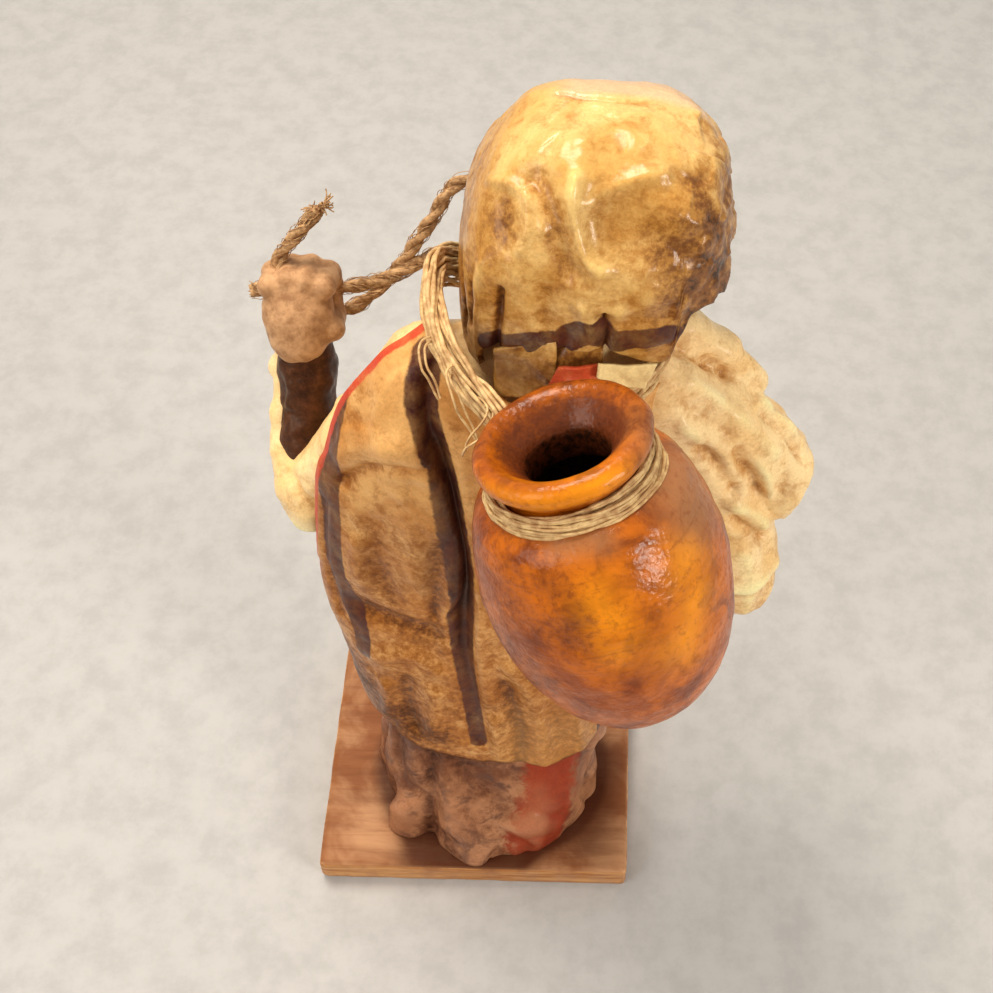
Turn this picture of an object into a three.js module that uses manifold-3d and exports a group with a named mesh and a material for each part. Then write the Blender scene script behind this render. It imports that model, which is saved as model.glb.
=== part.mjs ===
// A papier-mache water carrier on a wooden base: a figure in a shirt, a long skirt and a striped
// serape, with a shawl over its head, a turned wooden jug slung on its back by a raffia strap, and
// a loop of twine in its fists. Millimetres, +Z up, the figure faces -Y, and +X is its left side.
// The origin is the middle of the base's underside.

import * as THREE from "three";
import { mergeVertices } from "three/addons/utils/BufferGeometryUtils.js";
import Module from "manifold-3d";

const wasm = await Module();
wasm.setup();

// ---- Driving dimensions ----
const BASE = { width: 72, depth: 59, height: 8.5, bevel: 0.8 };
const GAP = 0.3; // air left between two pieces that touch
const SEGMENTS = 24; // points round the body's rings
const LIMB_SIDES = 10;

// The body's rings from hem to neck: height, centre x, centre y, half width, half depth, flute depth.
const BODY_RINGS = [
  [BASE.height + GAP, -2.0, 3.4, 24.6, 23.4, 1.6],
  [18, -2.4, 3.0, 24.6, 21.0, 1.3],
  [30, -2.8, 2.2, 24.2, 16.6, 0.9],
  [42, -3.6, 1.2, 23.4, 13.0, 0.5],
  [54, -5.8, 0.4, 20.8, 12.2, 0.3],
  [68, -9.0, -0.4, 17.6, 11.6, 0.2],
  [84, -12.0, -1.5, 15.2, 11.0, 0],
  [105, -15.0, -3.2, 16.4, 11.2, 0],
  [128, -18.0, -5.2, 18.6, 11.6, 0],
  [144, -20.0, -7.0, 19.6, 11.0, 0],
  [152, -21.0, -8.4, 15.2, 9.4, 0],
  [157, -21.5, -9.6, 8.4, 7.8, 0],
  [168, -22.2, -12.5, 7.2, 7.4, 0],
];
const FLUTES = 8; // folds round the skirt's hem

const HEAD = { centre: [-22.5, -16.5, 174], radii: [13.8, 15.6, 18.6] };
const NOSE = { centre: [-22.5, -33.0, 172.4], radii: [2.3, 3.0, 4.0] };
const EYE_SOCKET = { offset: 5.6, height: 176.2, depth: -33.2, radii: [3.6, 2.4, 2.5] };
const FOOT = { side: 9.5, centreY: -23.5, radii: [5.0, 9.0, 4.2] };

// Limbs: points on the centreline with the radius there.
const LEFT_ARM = [
  [-8, -7, 148, 9.5],
  [4, -6, 146, 9.2],
  [18, -7, 126, 8.0],
  [30.5, -8.5, 106, 7.2],
];
const LEFT_FOREARM = [
  [30.5, -8.5, 106, 7.2],
  [32.5, -15, 115, 6.0],
  [32.0, -23, 127, 5.6],
];
const LEFT_SLEEVE = [
  [30.5, -8.5, 106, 8.1],
  [33.4, -14.5, 114, 7.2],
];
const RIGHT_ARM = [
  [-34, -7, 147, 9.5],
  [-44, -7, 132, 8.6],
  [-52, -5.5, 108, 8.0],
  [-54, -3, 90, 8.4],
];
const RIGHT_FOREARM = [
  [-54, -3, 90, 8.2],
  [-49, -16, 100, 6.8],
  [-40, -31, 116, 5.4],
];
const RIGHT_SLEEVE = [
  [-33, -8, 146, 10.4],
  [-43, -8.5, 136, 10.2],
  [-52.5, -9.5, 123, 9.2],
  [-58.5, -10, 114, 8.4],
];

// Fists: middle, radii, and how far each is turned about X, then Z, in degrees.
const LEFT_FIST = { centre: [30.5, -28.5, 139.5], radii: [7.4, 7.4, 9.6], tip: 22, turn: -6 };
const RIGHT_FIST = { centre: [-34, -39, 123], radii: [7.0, 7.0, 8.6], tip: 38, turn: 30 };

// The shawl is a rounded box dome: its middle, half width and half depth at eye height, the height
// where its sides start to close in, and its crown, which leans back and to the right.
const SHAWL = {
  centre: [-22.6, -16.0],
  half: [22.4, 19.8],
  spring: 166,
  crown: 196.8,
  lean: [-2.6, -0.6],
  square: 3.0,
  dome: 2.6,
  waist: 0.07,
  wall: 1.6,
  segments: 34,
  rows: 7,
};
// Height of the shawl's rim round the head: degrees from the left side, by way of the back.
const SHAWL_RIM = [
  [-60, 183],
  [-42, 180],
  [-24, 174],
  [-8, 169],
  [0, 161.5],
  [12, 151.5],
  [38, 151],
  [60, 155],
  [80, 164],
  [100, 166],
  [140, 170],
  [180, 163],
  [192, 162],
  [206, 168],
  [226, 177],
  [240, 182],
];
const FACE_OPENING = { middle: 270, half: 48, soft: 16, brow: 186 };

// The serape's rows from neck to hem: share of the drop, centre x, centre y, reach to the left,
// to the right and to the back, then the height at the left edge, the back and the right edge.
const SERAPE_ROWS = [
  [0.0, -18.0, -6.5, 20.2, 19, 14.0, 164.5, 152, 154],
  [0.1, -17.5, -4.6, 29.0, 20, 14.4, 155, 142, 144],
  [0.2, -17.0, -3.0, 37.0, 21, 14.4, 145, 132, 134],
  [0.33, -16.0, -1.5, 40.6, 22, 14.2, 130, 118, 120],
  [0.5, -14.5, -0.5, 42.2, 23, 13.6, 110, 99, 101],
  [0.68, -12.0, 0.0, 40.6, 24, 14.0, 89, 79, 81],
  [0.84, -9.0, 0.5, 35.6, 25, 15.0, 71, 61, 64],
  [1.0, -5.0, 1.0, 29.7, 26.8, 16.4, 51, 42, 46],
];
const SERAPE = { from: 6, to: 158, across: 18, down: 15, sheet: 1.1, dip: 6, dipAt: 122, dipWidth: 26 };

// The jug, on its own axis with its belly's middle at zero.
const JUG = {
  belly: [-26.6, 31.0, 144.8],
  axis: [0.3, -0.27, 1.0],
  radius: 19.9,
  below: 31.0,
  shoulder: 17.5,
  neck: 11.2,
  neckAt: 21.4,
  lip: 14.1,
  lipAt: 25.8,
  crestAt: 28.2,
  crest: 11.8,
  mouth: 6.3,
  mouthAt: 23.5,
  wall: 4.2,
  sides: 28,
};

// The raffia strap: a band round the jug's neck, and a loop over both shoulders.
const STRAP = { thick: 1.0, wide: 2.2, sides: 4, steps: 28, bandThick: 1.0, bandWide: 2.0 };
const STRAP_ROUTE = [
  [-12.0, 19.2, 160.6],
  [-8.6, 14.6, 162.4],
  [-4.6, 10.4, 163.4],
  [-1.0, 6.0, 164.8],
  [1.5, 0.6, 166.4],
  [2.6, -6.0, 166.2],
  [3.0, -12.6, 164.0],
  [1.0, -19.8, 158.8],
  [-8.6, -24.0, 152.6],
  [-20.0, -25.0, 149.6],
  [-30.6, -21.6, 152.6],
  [-35.6, -14.6, 156.6],
  [-36.0, -7.0, 159.0],
  [-33.6, -0.6, 159.8],
  [-30.0, 5.2, 160.2],
  [-26.4, 10.4, 160.8],
  [-22.6, 15.0, 161.6],
];

// The twine: two strands of one loop between the fists, and the ends that stand out of the left fist.
const TWINE = { radius: 1.25, sides: 3, steps: 28 };
const TWINE_UPPER = [
  [31.5, -28.5, 133.0],
  [22.0, -34.5, 131.2],
  [15.0, -39.0, 135.6],
  [5.0, -43.5, 151.0],
  [-8.0, -47.0, 150.0],
  [-22.0, -46.0, 136.0],
  [-34.0, -39.0, 123.5],
];
const TWINE_LOWER = [
  [31.5, -28.5, 138.5],
  [24.0, -33.0, 137.4],
  [15.6, -36.2, 137.4],
  [3.0, -42.0, 139.6],
  [-12.0, -45.0, 133.0],
  [-24.0, -43.0, 125.0],
  [-34.0, -39.0, 119.0],
];
const TWINE_END = [
  [31.5, -28.5, 133.0],
  [31.6, -31.0, 144.0],
  [29.0, -33.5, 152.0],
  [22.5, -36.0, 158.5],
];

const COLOURS = {
  base: [0x8a4f33, 0.35],
  figure: [0x8a6a50, 0.6],
  shawl: [0xd8a862, 0.4],
  serape: [0xc08a50, 0.5],
  jug: [0xb0621f, 0.3],
  raffia: [0xc2a468, 0.7],
  twine: [0xa07a4a, 0.85],
};

const radians = THREE.MathUtils.degToRad;

// ---- Shapes ----

// A row of a table at a place between its rows, on a smooth curve through them all.
function rowAt(table, place) {
  const last = table.length - 1;
  let i = 0;
  while (i < last - 1 && place > table[i + 1][0]) i += 1;
  const slope = (k, column) => {
    const before = table[Math.max(k - 1, 0)];
    const after = table[Math.min(k + 1, last)];
    return (after[column] - before[column]) / (after[0] - before[0]);
  };
  const [a, b] = [table[i], table[i + 1]];
  const span = b[0] - a[0];
  const t = THREE.MathUtils.clamp((place - a[0]) / span, 0, 1);
  const [h00, h10] = [2 * t ** 3 - 3 * t ** 2 + 1, t ** 3 - 2 * t ** 2 + t];
  const [h01, h11] = [-2 * t ** 3 + 3 * t ** 2, t ** 3 - t ** 2];
  return a.map((_, c) => {
    if (c === 0) return place;
    return h00 * a[c] + h10 * span * slope(i, c) + h01 * b[c] + h11 * span * slope(i + 1, c);
  });
}

// A point on an oval of the given squareness, 2 being an ellipse.
function ovalPoint(angle, halfWidth, halfDepth, square) {
  const side = (v) => Math.sign(v) * Math.abs(v) ** (2 / square);
  return [halfWidth * side(Math.cos(angle)), halfDepth * side(Math.sin(angle))];
}

// An indexed geometry from points and triangles.
function meshOf(points, triangles) {
  return new THREE.BufferGeometry().setFromPoints(points).setIndex(triangles);
}

// A closed solid through rings of as many points each, anticlockwise as seen from the last ring.
function loft(rings) {
  const n = rings[0].length;
  const middle = (ring) => ring.reduce((sum, p) => sum.add(p), new THREE.Vector3()).divideScalar(n);
  const points = [...rings.flat(), middle(rings[0]), middle(rings.at(-1))];
  const triangles = [];
  const [first, last] = [n * rings.length, n * rings.length + 1];
  for (let j = 0; j < n; j += 1) {
    const k = (j + 1) % n;
    for (let i = 0; i < rings.length - 1; i += 1) {
      const [a, b, c, d] = [i * n + j, i * n + k, (i + 1) * n + k, (i + 1) * n + j];
      triangles.push(a, b, c, a, c, d);
    }
    const top = n * (rings.length - 1);
    triangles.push(first, k, j, last, top + j, top + k);
  }
  return meshOf(points, triangles);
}

// A round limb along points with a radius each, with rounded ends.
function limb(stations, grow = 0, sides = LIMB_SIDES) {
  const curve = new THREE.CatmullRomCurve3(stations.map(([x, y, z]) => new THREE.Vector3(x, y, z)));
  const steps = (stations.length - 1) * 2;
  const frames = curve.computeFrenetFrames(steps);
  const radii = stations.map((s, i) => [i / (stations.length - 1), s[3]]);
  const ringAt = (point, i, radius) =>
    Array.from({ length: sides }, (_, j) => {
      const angle = (j / sides) * 2 * Math.PI;
      return point
        .clone()
        .addScaledVector(frames.normals[i], radius * Math.cos(angle))
        .addScaledVector(frames.binormals[i], radius * Math.sin(angle));
    });
  const rings = [];
  const CAP = [55]; // degrees round each end's dome
  for (const degrees of CAP) {
    const radius = radii[0][1] + grow;
    const out = -radius * Math.sin(radians(degrees));
    const point = curve.getPoint(0).addScaledVector(frames.tangents[0], out);
    rings.push(ringAt(point, 0, radius * Math.cos(radians(degrees))));
  }
  for (let i = 0; i <= steps; i += 1) {
    rings.push(ringAt(curve.getPoint(i / steps), i, rowAt(radii, i / steps)[1] + grow));
  }
  for (const degrees of CAP.toReversed()) {
    const radius = radii.at(-1)[1] + grow;
    const out = radius * Math.sin(radians(degrees));
    const point = curve.getPoint(1).addScaledVector(frames.tangents[steps], out);
    rings.push(ringAt(point, steps, radius * Math.cos(radians(degrees))));
  }
  return loft(rings);
}

// An egg of three radii, tipped about X and then turned about Z.
function egg(centre, radii, { grow = 0, tip = 0, turn = 0, detail = [16, 12] } = {}) {
  const geometry = new THREE.SphereGeometry(1, ...detail);
  geometry.scale(radii[0] + grow, radii[2] + grow, radii[1] + grow).rotateX(Math.PI / 2);
  geometry.rotateX(radians(tip)).rotateZ(radians(turn));
  return geometry.translate(...centre);
}

// A round cord along a route, as thick as twice its radius.
function cord(route, radius, sides, steps) {
  const curve = new THREE.CatmullRomCurve3(route.map((p) => new THREE.Vector3(...p)));
  const section = new THREE.Shape();
  section.absarc(0, 0, radius, 0, 2 * Math.PI);
  const options = { steps, extrudePath: curve, bevelEnabled: false, curveSegments: sides };
  return new THREE.ExtrudeGeometry(section, options);
}

// ---- Joining and cutting ----

function solidOf(geometry) {
  const plain = geometry.clone();
  plain.deleteAttribute("normal");
  plain.deleteAttribute("uv");
  const merged = mergeVertices(plain, 1e-4);
  const vertProperties = new Float32Array(merged.attributes.position.array);
  const triVerts = new Uint32Array(merged.index.array);
  return new wasm.Manifold(new wasm.Mesh({ numProp: 3, vertProperties, triVerts }));
}

const joined = (geometries) => geometries.map(solidOf).reduce((a, b) => a.add(b));

function geometryOf(solid) {
  const { vertProperties, triVerts } = solid.getMesh();
  return new THREE.BufferGeometry()
    .setAttribute("position", new THREE.BufferAttribute(new Float32Array(vertProperties), 3))
    .setIndex(new THREE.BufferAttribute(new Uint32Array(triVerts), 1));
}

function node(name, geometry, [color, roughness]) {
  const material = new THREE.MeshStandardMaterial({ color, roughness, metalness: 0 });
  const mesh = new THREE.Mesh(geometry, material);
  mesh.name = name;
  return mesh;
}

// ---- The pieces ----

function baseBlock() {
  const { width, depth, height, bevel } = BASE;
  const plan = new THREE.Shape();
  const [w, d] = [width / 2 - bevel, depth / 2 - bevel];
  plan.moveTo(-w, -d).lineTo(w, -d).lineTo(w, d).lineTo(-w, d).closePath();
  const bevels = { bevelThickness: bevel, bevelSize: bevel, bevelSegments: 1 };
  const block = new THREE.ExtrudeGeometry(plan, { depth: height - 2 * bevel, ...bevels });
  return block.translate(0, 0, bevel);
}

// Skirt, shirt and neck in one loft, fluted towards the hem.
function body(grow) {
  const rings = BODY_RINGS.map(([z, cx, cy, halfWidth, halfDepth, flute], i) =>
    Array.from({ length: SEGMENTS }, (_, j) => {
      const angle = (j / SEGMENTS) * 2 * Math.PI;
      const fold = flute * Math.cos(FLUTES * angle + 0.5) + grow;
      const [x, y] = ovalPoint(angle, halfWidth + fold, halfDepth + fold, 2.2);
      return new THREE.Vector3(cx + x, cy + y, i === 0 ? z - grow : z);
    }),
  );
  return loft(rings);
}

function head(grow) {
  const skull = solidOf(egg(HEAD.centre, HEAD.radii, { grow, detail: [14, 10] }));
  const nose = solidOf(egg(NOSE.centre, NOSE.radii, { grow, detail: [10, 8] }));
  const sockets = [-1, 1].map((side) => {
    const middle = [HEAD.centre[0] + side * EYE_SOCKET.offset, EYE_SOCKET.depth, EYE_SOCKET.height];
    return solidOf(egg(middle, EYE_SOCKET.radii, { detail: [8, 6] }));
  });
  return sockets.reduce((face, socket) => face.subtract(socket), skull).add(nose);
}

// A foot's toes, which stand out from under the skirt's hem.
function foot(side) {
  const [, height, length] = [FOOT.radii[0], FOOT.radii[2], FOOT.radii[1]];
  const sole = BASE.height + GAP;
  const rings = [0, 0.45, 0.8, 0.98].map((share) =>
    Array.from({ length: 10 }, (_, j) => {
      const angle = (j / 10) * 2 * Math.PI;
      const width = Math.sqrt(1 - share ** 2);
      const [x, y] = ovalPoint(angle, FOOT.radii[0] * width, length * width, 2.3);
      return new THREE.Vector3(side * FOOT.side + x, FOOT.centreY + y, sole + height * share);
    }),
  );
  return loft(rings);
}

function fist({ centre, radii, tip, turn }, grow) {
  return egg(centre, radii, { grow, tip, turn, detail: [10, 8] });
}

function figure(grow = 0) {
  const parts = [
    body(grow),
    limb(LEFT_ARM, grow),
    limb(LEFT_FOREARM, grow),
    limb(LEFT_SLEEVE, grow),
    limb(RIGHT_ARM, grow),
    limb(RIGHT_FOREARM, grow),
    limb(RIGHT_SLEEVE, grow),
    fist(LEFT_FIST, grow),
    fist(RIGHT_FIST, grow),
    foot(-1),
    foot(1),
  ];
  return joined(parts).add(head(grow));
}

// Height of the shawl's rim at an angle round the head, raised to the brow over the face.
function shawlRim(degrees) {
  const turned = degrees > 240 + 30 ? degrees - 360 : degrees;
  const hem = rowAt(SHAWL_RIM, THREE.MathUtils.clamp(turned, -60, 240))[1];
  const away = Math.abs(((degrees + 360) % 360) - FACE_OPENING.middle);
  const { half, soft, brow } = FACE_OPENING;
  const open = 1 - THREE.MathUtils.smoothstep(away, half - soft, half + soft);
  return hem + (brow - hem) * open;
}

// A point of the shawl's dome. Rise is a height up to the spring, and an angle in radians above it.
function shawlPoint(degrees, rise, inset) {
  const { centre, half, spring, crown, lean, square, dome, waist } = SHAWL;
  const above = Math.max(rise, 0);
  const closing = Math.max(Math.cos(above), 0) ** (2 / dome);
  const lift = Math.sin(above) ** (2 / dome);
  const taper = 1 - waist * Math.min(-Math.min(rise, 0), 1) ** 2;
  const [w, d] = half.map((r) => Math.max((r - inset) * closing * taper, 0));
  const [x, y] = ovalPoint(radians(degrees), w, d, square);
  const z = spring + (crown - inset - spring) * lift + 20 * Math.min(rise, 0);
  return new THREE.Vector3(centre[0] + lean[0] * lift + x, centre[1] + lean[1] * lift + y, z);
}

// One wall of the shawl, set in from the outer one, ending in a point at the crown.
function shawlWall(inset) {
  const { spring, crown, dome, segments, rows } = SHAWL;
  const points = [];
  for (let i = 0; i < rows; i += 1) {
    for (let j = 0; j < segments; j += 1) {
      const degrees = (j / segments) * 360;
      const rim = shawlRim(degrees);
      const share = Math.max((rim - spring) / (crown - inset - spring), 0);
      const start = rim < spring ? (rim - spring) / 20 : Math.asin(share ** (dome / 2));
      const rise = start + (Math.PI / 2 - start) * (i / rows);
      points.push(shawlPoint(degrees, rise, inset));
    }
  }
  points.push(shawlPoint(0, Math.PI / 2, inset));
  return { points, rows };
}

// The shawl: an outer and an inner wall that meet along the rim.
function shawl() {
  const n = SHAWL.segments;
  const [outer, inner] = [shawlWall(0), shawlWall(SHAWL.wall)];
  const shift = outer.points.length;
  const triangles = [];
  for (let j = 0; j < n; j += 1) {
    const k = (j + 1) % n;
    for (let i = 0; i < outer.rows - 1; i += 1) {
      const [a, b, c, d] = [i * n + j, i * n + k, (i + 1) * n + k, (i + 1) * n + j];
      triangles.push(a, b, c, a, c, d);
      triangles.push(shift + a, shift + c, shift + b, shift + a, shift + d, shift + c);
    }
    const top = (outer.rows - 1) * n;
    triangles.push(top + j, top + k, shift - 1);
    triangles.push(shift + top + k, shift + top + j, 2 * shift - 1);
    triangles.push(j, shift + j, k, k, shift + j, shift + k);
  }
  return meshOf([...outer.points, ...inner.points], triangles);
}

// A point of the serape: across 0 is its left edge and 1 its right one, down 0 is the neck and 1 the hem.
function serapePoint(across, down) {
  const [, cx, cy, left, right, back, zLeft, zBack, zRight] = rowAt(SERAPE_ROWS, down);
  const degrees = SERAPE.from + (SERAPE.to - SERAPE.from) * across;
  const [c, s] = [Math.cos(radians(degrees)), Math.sin(radians(degrees))];
  const side = c > 0 ? zLeft : zRight;
  const dip = SERAPE.dip * down ** 3 * Math.exp(-(((degrees - SERAPE.dipAt) / SERAPE.dipWidth) ** 2));
  const z = zBack + (side - zBack) * c * c - dip;
  return new THREE.Vector3(cx + c * (c > 0 ? left : right), cy + back * s, z);
}

// The serape: a thin sheet of one thickness between its outer face and an inner one.
function serape() {
  const { across, down, sheet } = SERAPE;
  const [outer, inner] = [[], []];
  const step = 1e-3;
  for (let i = 0; i <= down; i += 1) {
    for (let j = 0; j <= across; j += 1) {
      const [u, v] = [j / across, i / down];
      const point = serapePoint(u, v);
      const alongU = serapePoint(u + step, v).sub(point);
      const alongV = serapePoint(u, Math.min(v + step, 1)).sub(serapePoint(u, Math.min(v + step, 1) - step));
      const normal = alongV.cross(alongU).normalize();
      outer.push(point);
      inner.push(point.clone().addScaledVector(normal, -sheet));
    }
  }
  const [n, shift] = [across + 1, outer.length];
  const triangles = [];
  const face = (a, b, c, d) => triangles.push(a, b, c, a, c, d);
  for (let i = 0; i < down; i += 1) {
    for (let j = 0; j < across; j += 1) {
      const [a, b, c, d] = [i * n + j, (i + 1) * n + j, (i + 1) * n + j + 1, i * n + j + 1];
      face(a, b, c, d);
      face(shift + a, shift + d, shift + c, shift + b);
    }
    const [l, r] = [i * n, i * n + across];
    face(l, shift + l, shift + l + n, l + n);
    face(r, r + n, shift + r + n, shift + r);
  }
  for (let j = 0; j < across; j += 1) {
    const bottom = down * n + j;
    face(j, j + 1, shift + j + 1, shift + j);
    face(bottom, shift + bottom, shift + bottom + 1, bottom + 1);
  }
  return meshOf([...outer, ...inner], triangles);
}

// The jug's outside from its foot to the lip, then down the mouth and round the hollow.
function jugProfile(grow) {
  const { radius, below, shoulder, neck, neckAt, lip, lipAt, crestAt, crest, mouth, mouthAt, wall } = JUG;
  const bellyAt = (z, half, r) => new THREE.Vector2(r * Math.sqrt(Math.max(0, 1 - (z / half) ** 2)), z);
  const profile = [new THREE.Vector2(0, -below - grow)];
  for (const share of [0.97, 0.88, 0.74, 0.56, 0.36, 0.14, -0.1, -0.3, -0.45]) {
    profile.push(bellyAt(-below * share, below + grow, radius + grow));
  }
  profile.push(bellyAt(shoulder, below + grow, radius + grow));
  profile.push(new THREE.Vector2(neck + grow, neckAt));
  profile.push(new THREE.Vector2(lip - 1.2 + grow, lipAt - 2.0));
  profile.push(new THREE.Vector2(lip + grow, lipAt));
  profile.push(new THREE.Vector2(lip - 0.7 + grow, crestAt - 0.6 + grow));
  profile.push(new THREE.Vector2(crest, crestAt + grow));
  if (grow > 0) return [...profile, new THREE.Vector2(0, crestAt + grow)];
  profile.push(new THREE.Vector2((crest + mouth) / 2, (crestAt + mouthAt) / 2 + 0.6));
  profile.push(new THREE.Vector2(mouth, mouthAt));
  profile.push(new THREE.Vector2(mouth, neckAt - 3));
  for (const share of [-0.36, -0.1, 0.2, 0.5, 0.8]) {
    profile.push(bellyAt(-(below - wall) * share, below - wall, radius - wall));
  }
  profile.push(new THREE.Vector2(0, -(below - wall)));
  return profile;
}

// The jug's own frame: its axis up, its belly's middle at the origin.
function jugPlace() {
  const up = new THREE.Vector3(...JUG.axis).normalize();
  const turn = new THREE.Quaternion().setFromUnitVectors(new THREE.Vector3(0, 0, 1), up);
  return new THREE.Matrix4().compose(new THREE.Vector3(...JUG.belly), turn, new THREE.Vector3(1, 1, 1));
}

function jug(grow = 0) {
  const turned = new THREE.LatheGeometry(jugProfile(grow), JUG.sides).rotateX(Math.PI / 2);
  return turned.applyMatrix4(jugPlace());
}

// A band of raffia wound round the jug's neck.
function neckBand() {
  const { bandThick, bandWide } = STRAP;
  const [inner, z] = [JUG.neck + GAP + 0.6, JUG.neckAt];
  const profile = [
    new THREE.Vector2(inner, z - bandWide),
    new THREE.Vector2(inner + bandThick * 2.2, z - bandWide * 0.5),
    new THREE.Vector2(inner + bandThick * 2, z + bandWide * 0.35),
    new THREE.Vector2(inner, z + bandWide * 0.5),
    new THREE.Vector2(inner, z - bandWide),
  ];
  return new THREE.LatheGeometry(profile, JUG.sides).rotateX(Math.PI / 2).applyMatrix4(jugPlace());
}

function strapLoop() {
  const curve = new THREE.CatmullRomCurve3(STRAP_ROUTE.map((p) => new THREE.Vector3(...p)));
  const section = new THREE.Shape();
  section.absellipse(0, 0, STRAP.thick, STRAP.wide, 0, 2 * Math.PI);
  const options = { steps: STRAP.steps, extrudePath: curve, bevelEnabled: false };
  return new THREE.ExtrudeGeometry(section, { ...options, curveSegments: STRAP.sides });
}

function twine(grow) {
  const { radius, sides, steps } = TWINE;
  const strands = [TWINE_UPPER, TWINE_LOWER].map((route) => cord(route, radius + grow, sides, steps));
  const solid = joined([...strands, cord(TWINE_END, radius + grow, sides, 12)]);
  if (grow === 0) return solid;
  const room = Array(3).fill(radius * 1.25 + grow);
  const ends = [TWINE_UPPER, TWINE_LOWER].flatMap((route) => [route[0], route.at(-1)]);
  return ends.reduce((all, end) => all.add(solidOf(egg(end, room, { detail: [8, 6] }))), solid);
}

// ---- Assembly ----

const clearFigure = figure(GAP);
const clearJug = solidOf(jug(GAP));
const twineSolid = twine(0);
const strapSolid = joined([strapLoop(), neckBand()]).subtract(clearJug).subtract(clearFigure);
const figureSolid = figure().subtract(twine(GAP));
const serapeSolid = solidOf(serape()).subtract(clearFigure).subtract(clearJug);
const shawlSolid = solidOf(shawl()).subtract(clearFigure);

const carrier = new THREE.Group();
carrier.add(
  node("base", baseBlock(), COLOURS.base),
  node("figure", geometryOf(figureSolid), COLOURS.figure),
  node("head_shawl", geometryOf(shawlSolid), COLOURS.shawl),
  node("serape", geometryOf(serapeSolid), COLOURS.serape),
  node("jug", jug(), COLOURS.jug),
  node("raffia_strap", geometryOf(strapSolid), COLOURS.raffia),
  node("twine", geometryOf(twineSolid), COLOURS.twine),
);

export default carrier;
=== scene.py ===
"""A papier-mache water carrier: its folded paper, turned jug, raffia and twine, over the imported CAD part.

Every length is in millimetres until a piece is made. The figure faces -Y, and its left side is +X.
"""

import math

import bmesh
import bpy
import numpy as np
from mathutils import Matrix, Vector


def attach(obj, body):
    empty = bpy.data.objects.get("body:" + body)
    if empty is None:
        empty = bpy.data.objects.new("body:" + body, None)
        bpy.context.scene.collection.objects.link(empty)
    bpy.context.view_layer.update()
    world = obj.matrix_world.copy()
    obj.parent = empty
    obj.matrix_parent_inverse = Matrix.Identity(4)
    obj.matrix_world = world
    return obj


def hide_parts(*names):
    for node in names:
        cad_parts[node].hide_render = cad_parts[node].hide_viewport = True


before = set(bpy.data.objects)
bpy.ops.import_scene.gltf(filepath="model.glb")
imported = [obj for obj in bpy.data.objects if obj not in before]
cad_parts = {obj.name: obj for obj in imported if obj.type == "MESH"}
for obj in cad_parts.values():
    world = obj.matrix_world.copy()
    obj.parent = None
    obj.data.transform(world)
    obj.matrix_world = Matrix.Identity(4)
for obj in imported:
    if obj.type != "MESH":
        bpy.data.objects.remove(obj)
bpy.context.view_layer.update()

MM = 0.001
TURN = 2 * np.pi
SAME_PLACE = 0.002 * MM

# ---- The camera ----

CAMERA_PLACE = (-22.43, 155.83, 344.39)
# How far the camera looks down, rolls and turns, in degrees.
CAMERA_ANGLES = (55.14, -4.153, -2.666)


def in_scene(name, data):
    """A new object with that data, linked into the scene."""
    made = bpy.data.objects.new(name, data)
    bpy.context.scene.collection.objects.link(made)
    return made


def new_node(tree, kind, inputs, settings):
    """A node of that kind with its own settings, and what goes into its inputs."""
    node = tree.nodes.new(kind)
    for key, value in settings.items():
        setattr(node, key, value)
    for key, value in dict(inputs).items():
        if isinstance(value, bpy.types.NodeSocket):
            tree.links.new(value, node.inputs[key])
        else:
            node.inputs[key].default_value = value
    return node


def set_camera():
    """A camera close above the figure's back, looking down at it."""
    pitch, roll, yaw = (math.radians(angle) for angle in CAMERA_ANGLES)
    level = Vector((math.sin(yaw), -math.cos(yaw), 0))
    up = Vector((0, 0, 1))
    ahead = math.cos(pitch) * level - math.sin(pitch) * up
    right = ahead.cross(up).normalized()
    down = ahead.cross(right)
    across = math.cos(roll) * right + math.sin(roll) * down
    below = -math.sin(roll) * right + math.cos(roll) * down
    turn = Matrix((across, -below, -ahead)).transposed().to_4x4()
    lens = bpy.data.cameras.new("camera")
    lens.sensor_width = 36
    lens.lens = 53.82
    lens.shift_x = -0.12588117
    lens.clip_start = 0.01
    camera = in_scene("camera", lens)
    camera.matrix_world = Matrix.Translation(Vector(CAMERA_PLACE) * MM) @ turn
    bpy.context.scene.camera = camera


set_camera()

# ---- Marks on paper: noise, creases and lines, as numbers for each point ----

CORNERS = np.array([(i, j, k) for i in (0, 1) for j in (0, 1) for k in (0, 1)])
NEIGHBOURS = np.array([(i, j, k) for i in (-1, 0, 1) for j in (-1, 0, 1) for k in (-1, 0, 1)])
MIXERS = np.array([73856093, 19349663, 83492791], np.uint64)


def scatter(cells, seed, count):
    """Numbers from 0 to 1 that belong to whole-number cells, `count` of them for each cell."""
    mixed = (cells.astype(np.int64).view(np.uint64) * MIXERS).astype(np.uint64)
    state = mixed[:, 0] ^ mixed[:, 1] ^ mixed[:, 2] ^ np.uint64(seed * 7919 + 17)
    rolls = []
    for _ in range(count):
        state = (state ^ (state >> np.uint64(29))) * np.uint64(0xBF58476D1CE4E5B9)
        state = state ^ (state >> np.uint64(32))
        rolls.append((state & np.uint64(0xFFFFFF)).astype(float) / 0xFFFFFF)
    return np.stack(rolls, 1)


def mottle(points, size, seed):
    """Soft blotches of about that size, from -1 to 1."""
    place = points / size
    cell = np.floor(place)
    t = place - cell
    t = t * t * (3 - 2 * t)
    total = np.zeros(len(points))
    for corner in CORNERS:
        total += np.prod(np.where(corner == 1, t, 1 - t), 1) * scatter(cell + corner, seed, 1)[:, 0]
    return 2 * total - 1


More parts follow.
